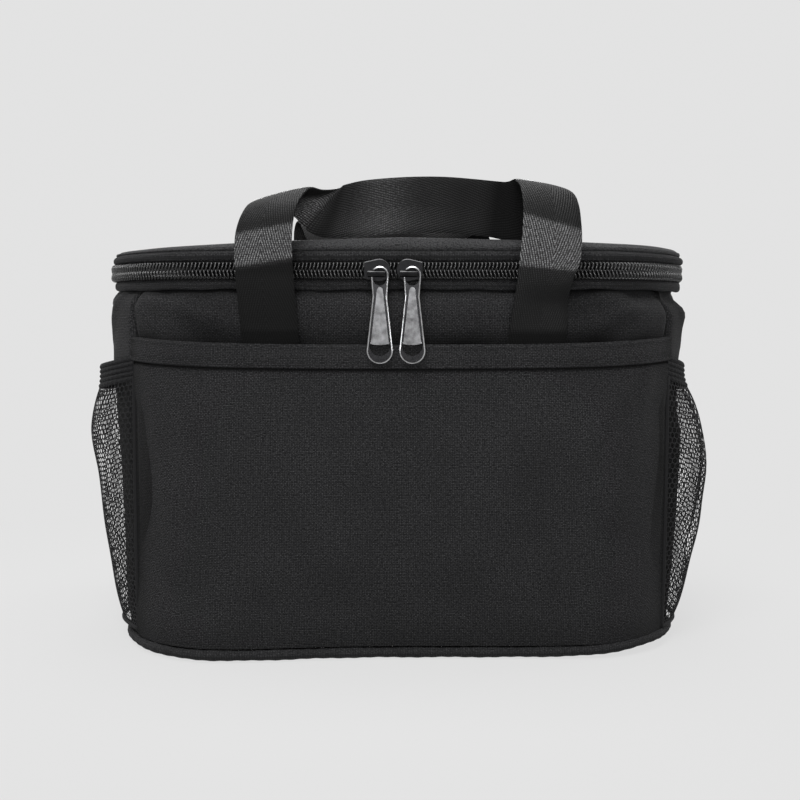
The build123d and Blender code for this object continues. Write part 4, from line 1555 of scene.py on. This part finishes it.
def metal_finish(node, finish, edge):
    """Gives a metal piece its finish. Its narrow slanting faces, broken along the front, get a bright edge
    finish: a painted highlight.
    """
    mesh = node.data
    smooth_faces(mesh, finish, edge, sharp=30)
    normals = np.zeros(3 * len(mesh.polygons))
    mesh.polygons.foreach_get("normal", normals)
    facing = np.abs(normals.reshape(-1, 3)[:, 1])
    slanting = (facing > SLANTING[0]) & (facing < SLANTING[1])
    mesh.polygons.foreach_set("material_index", slanting.astype(np.int32))
    bevel = node.modifiers.new("edge round", "BEVEL")
    bevel.width = BEVEL * MM
    bevel.segments = 2
    bevel.limit_method = "ANGLE"
    bevel.angle_limit = math.radians(30)
    bevel.use_clamp_overlap = True


def build_metal():
    nodes = frame["nodes"]
    for side in ("left", "right"):
        metal_finish(nodes[side + "_slider"], "slider enamel", "rubbed slider edge")
        metal_finish(nodes[side + "_pull"], "dark nickel", "polished edge")
        smooth_faces(nodes[side + "_pull_inlay"].data, "satin plate", sharp=35)


# ---------------------------------------------------------------- stage
AMBIENT = 0.09  # strength of the light that comes from all round
FLOOR_TONE = 0.68  # of the backdrop's tone
GRAIN_TONE = 0.985  # darkest grain of the floor, of its tone
SHADOW_SHARE = 0.87  # backdrop's share of the floor beside the bag
SHADOW_REACH = (0.2, 0.42)  # metres from the middle where the floor turns to the plain backdrop
FLOOR_SIZE = 9000  # from the middle to each edge
FLOOR_TOP = -0.2
FLOOR_DEPTH = 6
# The camera looks level along y. Its place is in metres.
EYE = (0.0, -0.585, 0.1545)
LENS = 50.4
SENSOR = 36.0
SHIFT = (0.0025, -0.10875)
# Lamps: place, point they look at and size, all in metres, and power.
LAMPS = {
    "key soft box": ((-0.3, -0.9, 1.5), (0, 0, 0.14), (0.8, 0.7), 24.0),
    "low soft box": ((0.0, -1.55, 0.28), (0, 0, 0.2), (0.9, 0.2), 13.0),
    "top soft box": ((0.0, 0.1, 1.5), (0, 0, 0.1), (1.0, 0.8), 17.0),
    "left soft box": ((-1.6, 0.7, 0.7), (0, 0, 0.1), (0.6, 0.6), 8.0),
    "right soft box": ((1.6, 0.7, 0.7), (0, 0, 0.1), (0.6, 0.6), 8.0),
    "back soft box": ((0.0, 1.6, 0.7), (0, 0, 0.1), (0.8, 0.5), 9.0),
}


def area_light(name, place, target, spread, power):
    data = bpy.data.lights.new(name, "AREA")
    data.shape = "RECTANGLE"
    data.size, data.size_y = spread
    data.energy = power
    lamp = bpy.data.objects.new(name, data)
    lamp.location = place
    direction = np.array(target) - np.array(place)
    x, y, z = direction / np.linalg.norm(direction)
    lamp.rotation_euler = (math.acos(-z), 0.0, math.atan2(-x, y))
    bpy.context.scene.collection.objects.link(lamp)


def seen_rays(graph):
    """1 for rays that show the backdrop itself: seen directly, mirrored or through something clear."""
    rays = graph.node("LightPath").outputs
    mirrored = graph.calc("MAXIMUM", rays["Is Glossy Ray"], rays["Is Transmission Ray"])
    return graph.calc("MAXIMUM", rays["Is Camera Ray"], mirrored)


def build_world(tone):
    world = bpy.data.worlds.new("studio")
    bpy.context.scene.world = world
    world.use_nodes = True
    graph = Graph(world.node_tree)
    base = world.node_tree.nodes["Background"]
    base.inputs["Color"].default_value = (1, 1, 1, 1)
    base.inputs["Strength"].default_value = AMBIENT
    seen = graph.node("Background", {"Color": tone, "Strength": 1.0})
    mixed = graph.mix_shaders(seen_rays(graph), base, seen)
    graph.feed(world.node_tree.nodes["World Output"].inputs["Surface"], mixed)


def build_floor(tone):
    """Flat paper floor. Near the bag it takes the bag's shadow, farther off it is the plain backdrop."""
    form = Form()
    loops = []
    for y in (-FLOOR_SIZE, -1200, 0, 1200, FLOOR_SIZE):
        top = points_of(np.linspace(-FLOOR_SIZE, FLOOR_SIZE, 7), y, FLOOR_TOP)
        loops.append(np.r_[top, (top - [0, 0, FLOOR_DEPTH])[::-1]])
    form.rings(loops)
    material = bpy.data.materials.new("floor paper")
    form.piece("paper_floor", material, None)
    material.use_nodes = True
    graph = Graph(material.node_tree)
    where = graph.node("TexCoord").outputs["Object"]
    paper = toned(tone[:3], FLOOR_TONE)
    grain = graph.noise(where, 900.0)
    shader = material.node_tree.nodes["Principled BSDF"]
    shader.inputs["Roughness"].default_value = 0.9
    shader.inputs["Specular IOR Level"].default_value = 0.0
    graph.feed(shader.inputs["Base Color"], graph.mix(grain, (*toned(paper, GRAIN_TONE), 1), (*paper, 1)))
    glow = graph.node("Emission", {"Color": tone})
    distance = graph.node("VectorMath", {0: graph.stretched(where, 1.0, 1.35)}, operation="LENGTH")
    plain = graph.ramp(distance.outputs["Value"], *SHADOW_REACH)
    share = graph.calc("MULTIPLY_ADD", plain, 1 - SHADOW_SHARE, SHADOW_SHARE)
    share = graph.calc("MULTIPLY", seen_rays(graph), share)
    blend = graph.mix_shaders(share, shader, glow)
    graph.feed(material.node_tree.nodes["Material Output"].inputs["Surface"], blend)


def build_stage():
    scene = bpy.context.scene
    tone = (*colours().backdrop, 1)
    build_world(tone)
    build_floor(tone)
    for name, values in LAMPS.items():
        area_light(name, *values)

    camera_data = bpy.data.cameras.new("front view")
    camera_data.sensor_width = SENSOR
    camera_data.lens = LENS
    camera_data.shift_x, camera_data.shift_y = SHIFT
    camera = bpy.data.objects.new("front view", camera_data)
    camera.location = EYE
    camera.rotation_euler = (math.pi / 2, 0, 0)
    scene.collection.objects.link(camera)
    scene.camera = camera
    scene.view_settings.view_transform = "Standard"


# ---------------------------------------------------------------- add-on
class BAG_OT_walls(bpy.types.Operator):
    """Padded walls and base"""

    bl_idname = "bag.walls"
    bl_label = "Walls and base"
    bl_options = {"REGISTER", "UNDO"}

    def execute(self, context):
        build_walls()
        build_base()
        return {"FINISHED"}


class BAG_OT_lining(bpy.types.Operator):
    """Silver lining of the main compartment"""

    bl_idname = "bag.lining"
    bl_label = "Lining"
    bl_options = {"REGISTER", "UNDO"}

    def execute(self, context):
        build_lining()
        return {"FINISHED"}


class BAG_OT_bands(bpy.types.Operator):
    """Rolled strips, hinge cloth and corded edge"""

    bl_idname = "bag.bands"
    bl_label = "Bands and cording"
    bl_options = {"REGISTER", "UNDO"}

    def execute(self, context):
        build_bands()
        return {"FINISHED"}


class BAG_OT_zip(bpy.types.Operator):
    """Tapes and coils of the zip"""

    bl_idname = "bag.zip"
    bl_label = "Zip"
    bl_options = {"REGISTER", "UNDO"}

    def execute(self, context):
        build_zip()
        return {"FINISHED"}


class BAG_OT_lid(bpy.types.Operator):
    """Padded lid and its lining"""

    bl_idname = "bag.lid"
    bl_label = "Lid"
    bl_options = {"REGISTER", "UNDO"}

    def execute(self, context):
        build_lid()
        return {"FINISHED"}


class BAG_OT_front_pocket(bpy.types.Operator):
    """Front pocket with its sewn hem"""

    bl_idname = "bag.front_pocket"
    bl_label = "Front pocket"
    bl_options = {"REGISTER", "UNDO"}

    def execute(self, context):
        build_front_pocket()
        return {"FINISHED"}


class BAG_OT_net_pockets(bpy.types.Operator):
    """Net pockets with their elastic"""

    bl_idname = "bag.net_pockets"
    bl_label = "Net pockets"
    bl_options = {"REGISTER", "UNDO"}

    def execute(self, context):
        build_net_pockets()
        return {"FINISHED"}


class BAG_OT_handles(bpy.types.Operator):
    """Webbing handles"""

    bl_idname = "bag.handles"
    bl_label = "Handles"
    bl_options = {"REGISTER", "UNDO"}

    def execute(self, context):
        build_handles()
        return {"FINISHED"}


class BAG_OT_metal(bpy.types.Operator):
    """Finish of the sliders and pulls"""

    bl_idname = "bag.metal"
    bl_label = "Sliders and pulls"
    bl_options = {"REGISTER", "UNDO"}

    def execute(self, context):
        build_metal()
        return {"FINISHED"}


class BAG_OT_stage(bpy.types.Operator):
    """Floor, lights and camera"""

    bl_idname = "bag.stage"
    bl_label = "Stage"
    bl_options = {"REGISTER", "UNDO"}

    def execute(self, context):
        build_stage()
        return {"FINISHED"}


class BAG_PT_panel(bpy.types.Panel):
    """Sizes, colours and steps of the bag"""

    bl_idname = "BAG_PT_panel"
    bl_label = "Cooler bag"
    bl_space_type = "VIEW_3D"
    bl_region_type = "UI"
    bl_category = "Bag"

    def draw(self, context):
        for group in (context.scene.bag_sizes, context.scene.bag_colours):
            for name in group.__annotations__:
                self.layout.prop(group, name)
        for step in STEPS:
            self.layout.operator(step.bl_idname)


STEPS = (
    BAG_OT_walls,
    BAG_OT_lining,
    BAG_OT_bands,
    BAG_OT_zip,
    BAG_OT_lid,
    BAG_OT_front_pocket,
    BAG_OT_net_pockets,
    BAG_OT_handles,
    BAG_OT_metal,
    BAG_OT_stage,
)
CLASSES = (BagSizes, BagColours, *STEPS, BAG_PT_panel)


def register():
    for item in CLASSES:
        bpy.utils.register_class(item)
    bpy.types.Scene.bag_sizes = bpy.props.PointerProperty(type=BagSizes)
    bpy.types.Scene.bag_colours = bpy.props.PointerProperty(type=BagColours)


def unregister():
    del bpy.types.Scene.bag_colours
    del bpy.types.Scene.bag_sizes
    for item in reversed(CLASSES):
        bpy.utils.unregister_class(item)


def main():
    register()
    for step in STEPS:
        group, action = step.bl_idname.split(".")
        getattr(getattr(bpy.ops, group), action)()


if __name__ == "__main__":
    main()
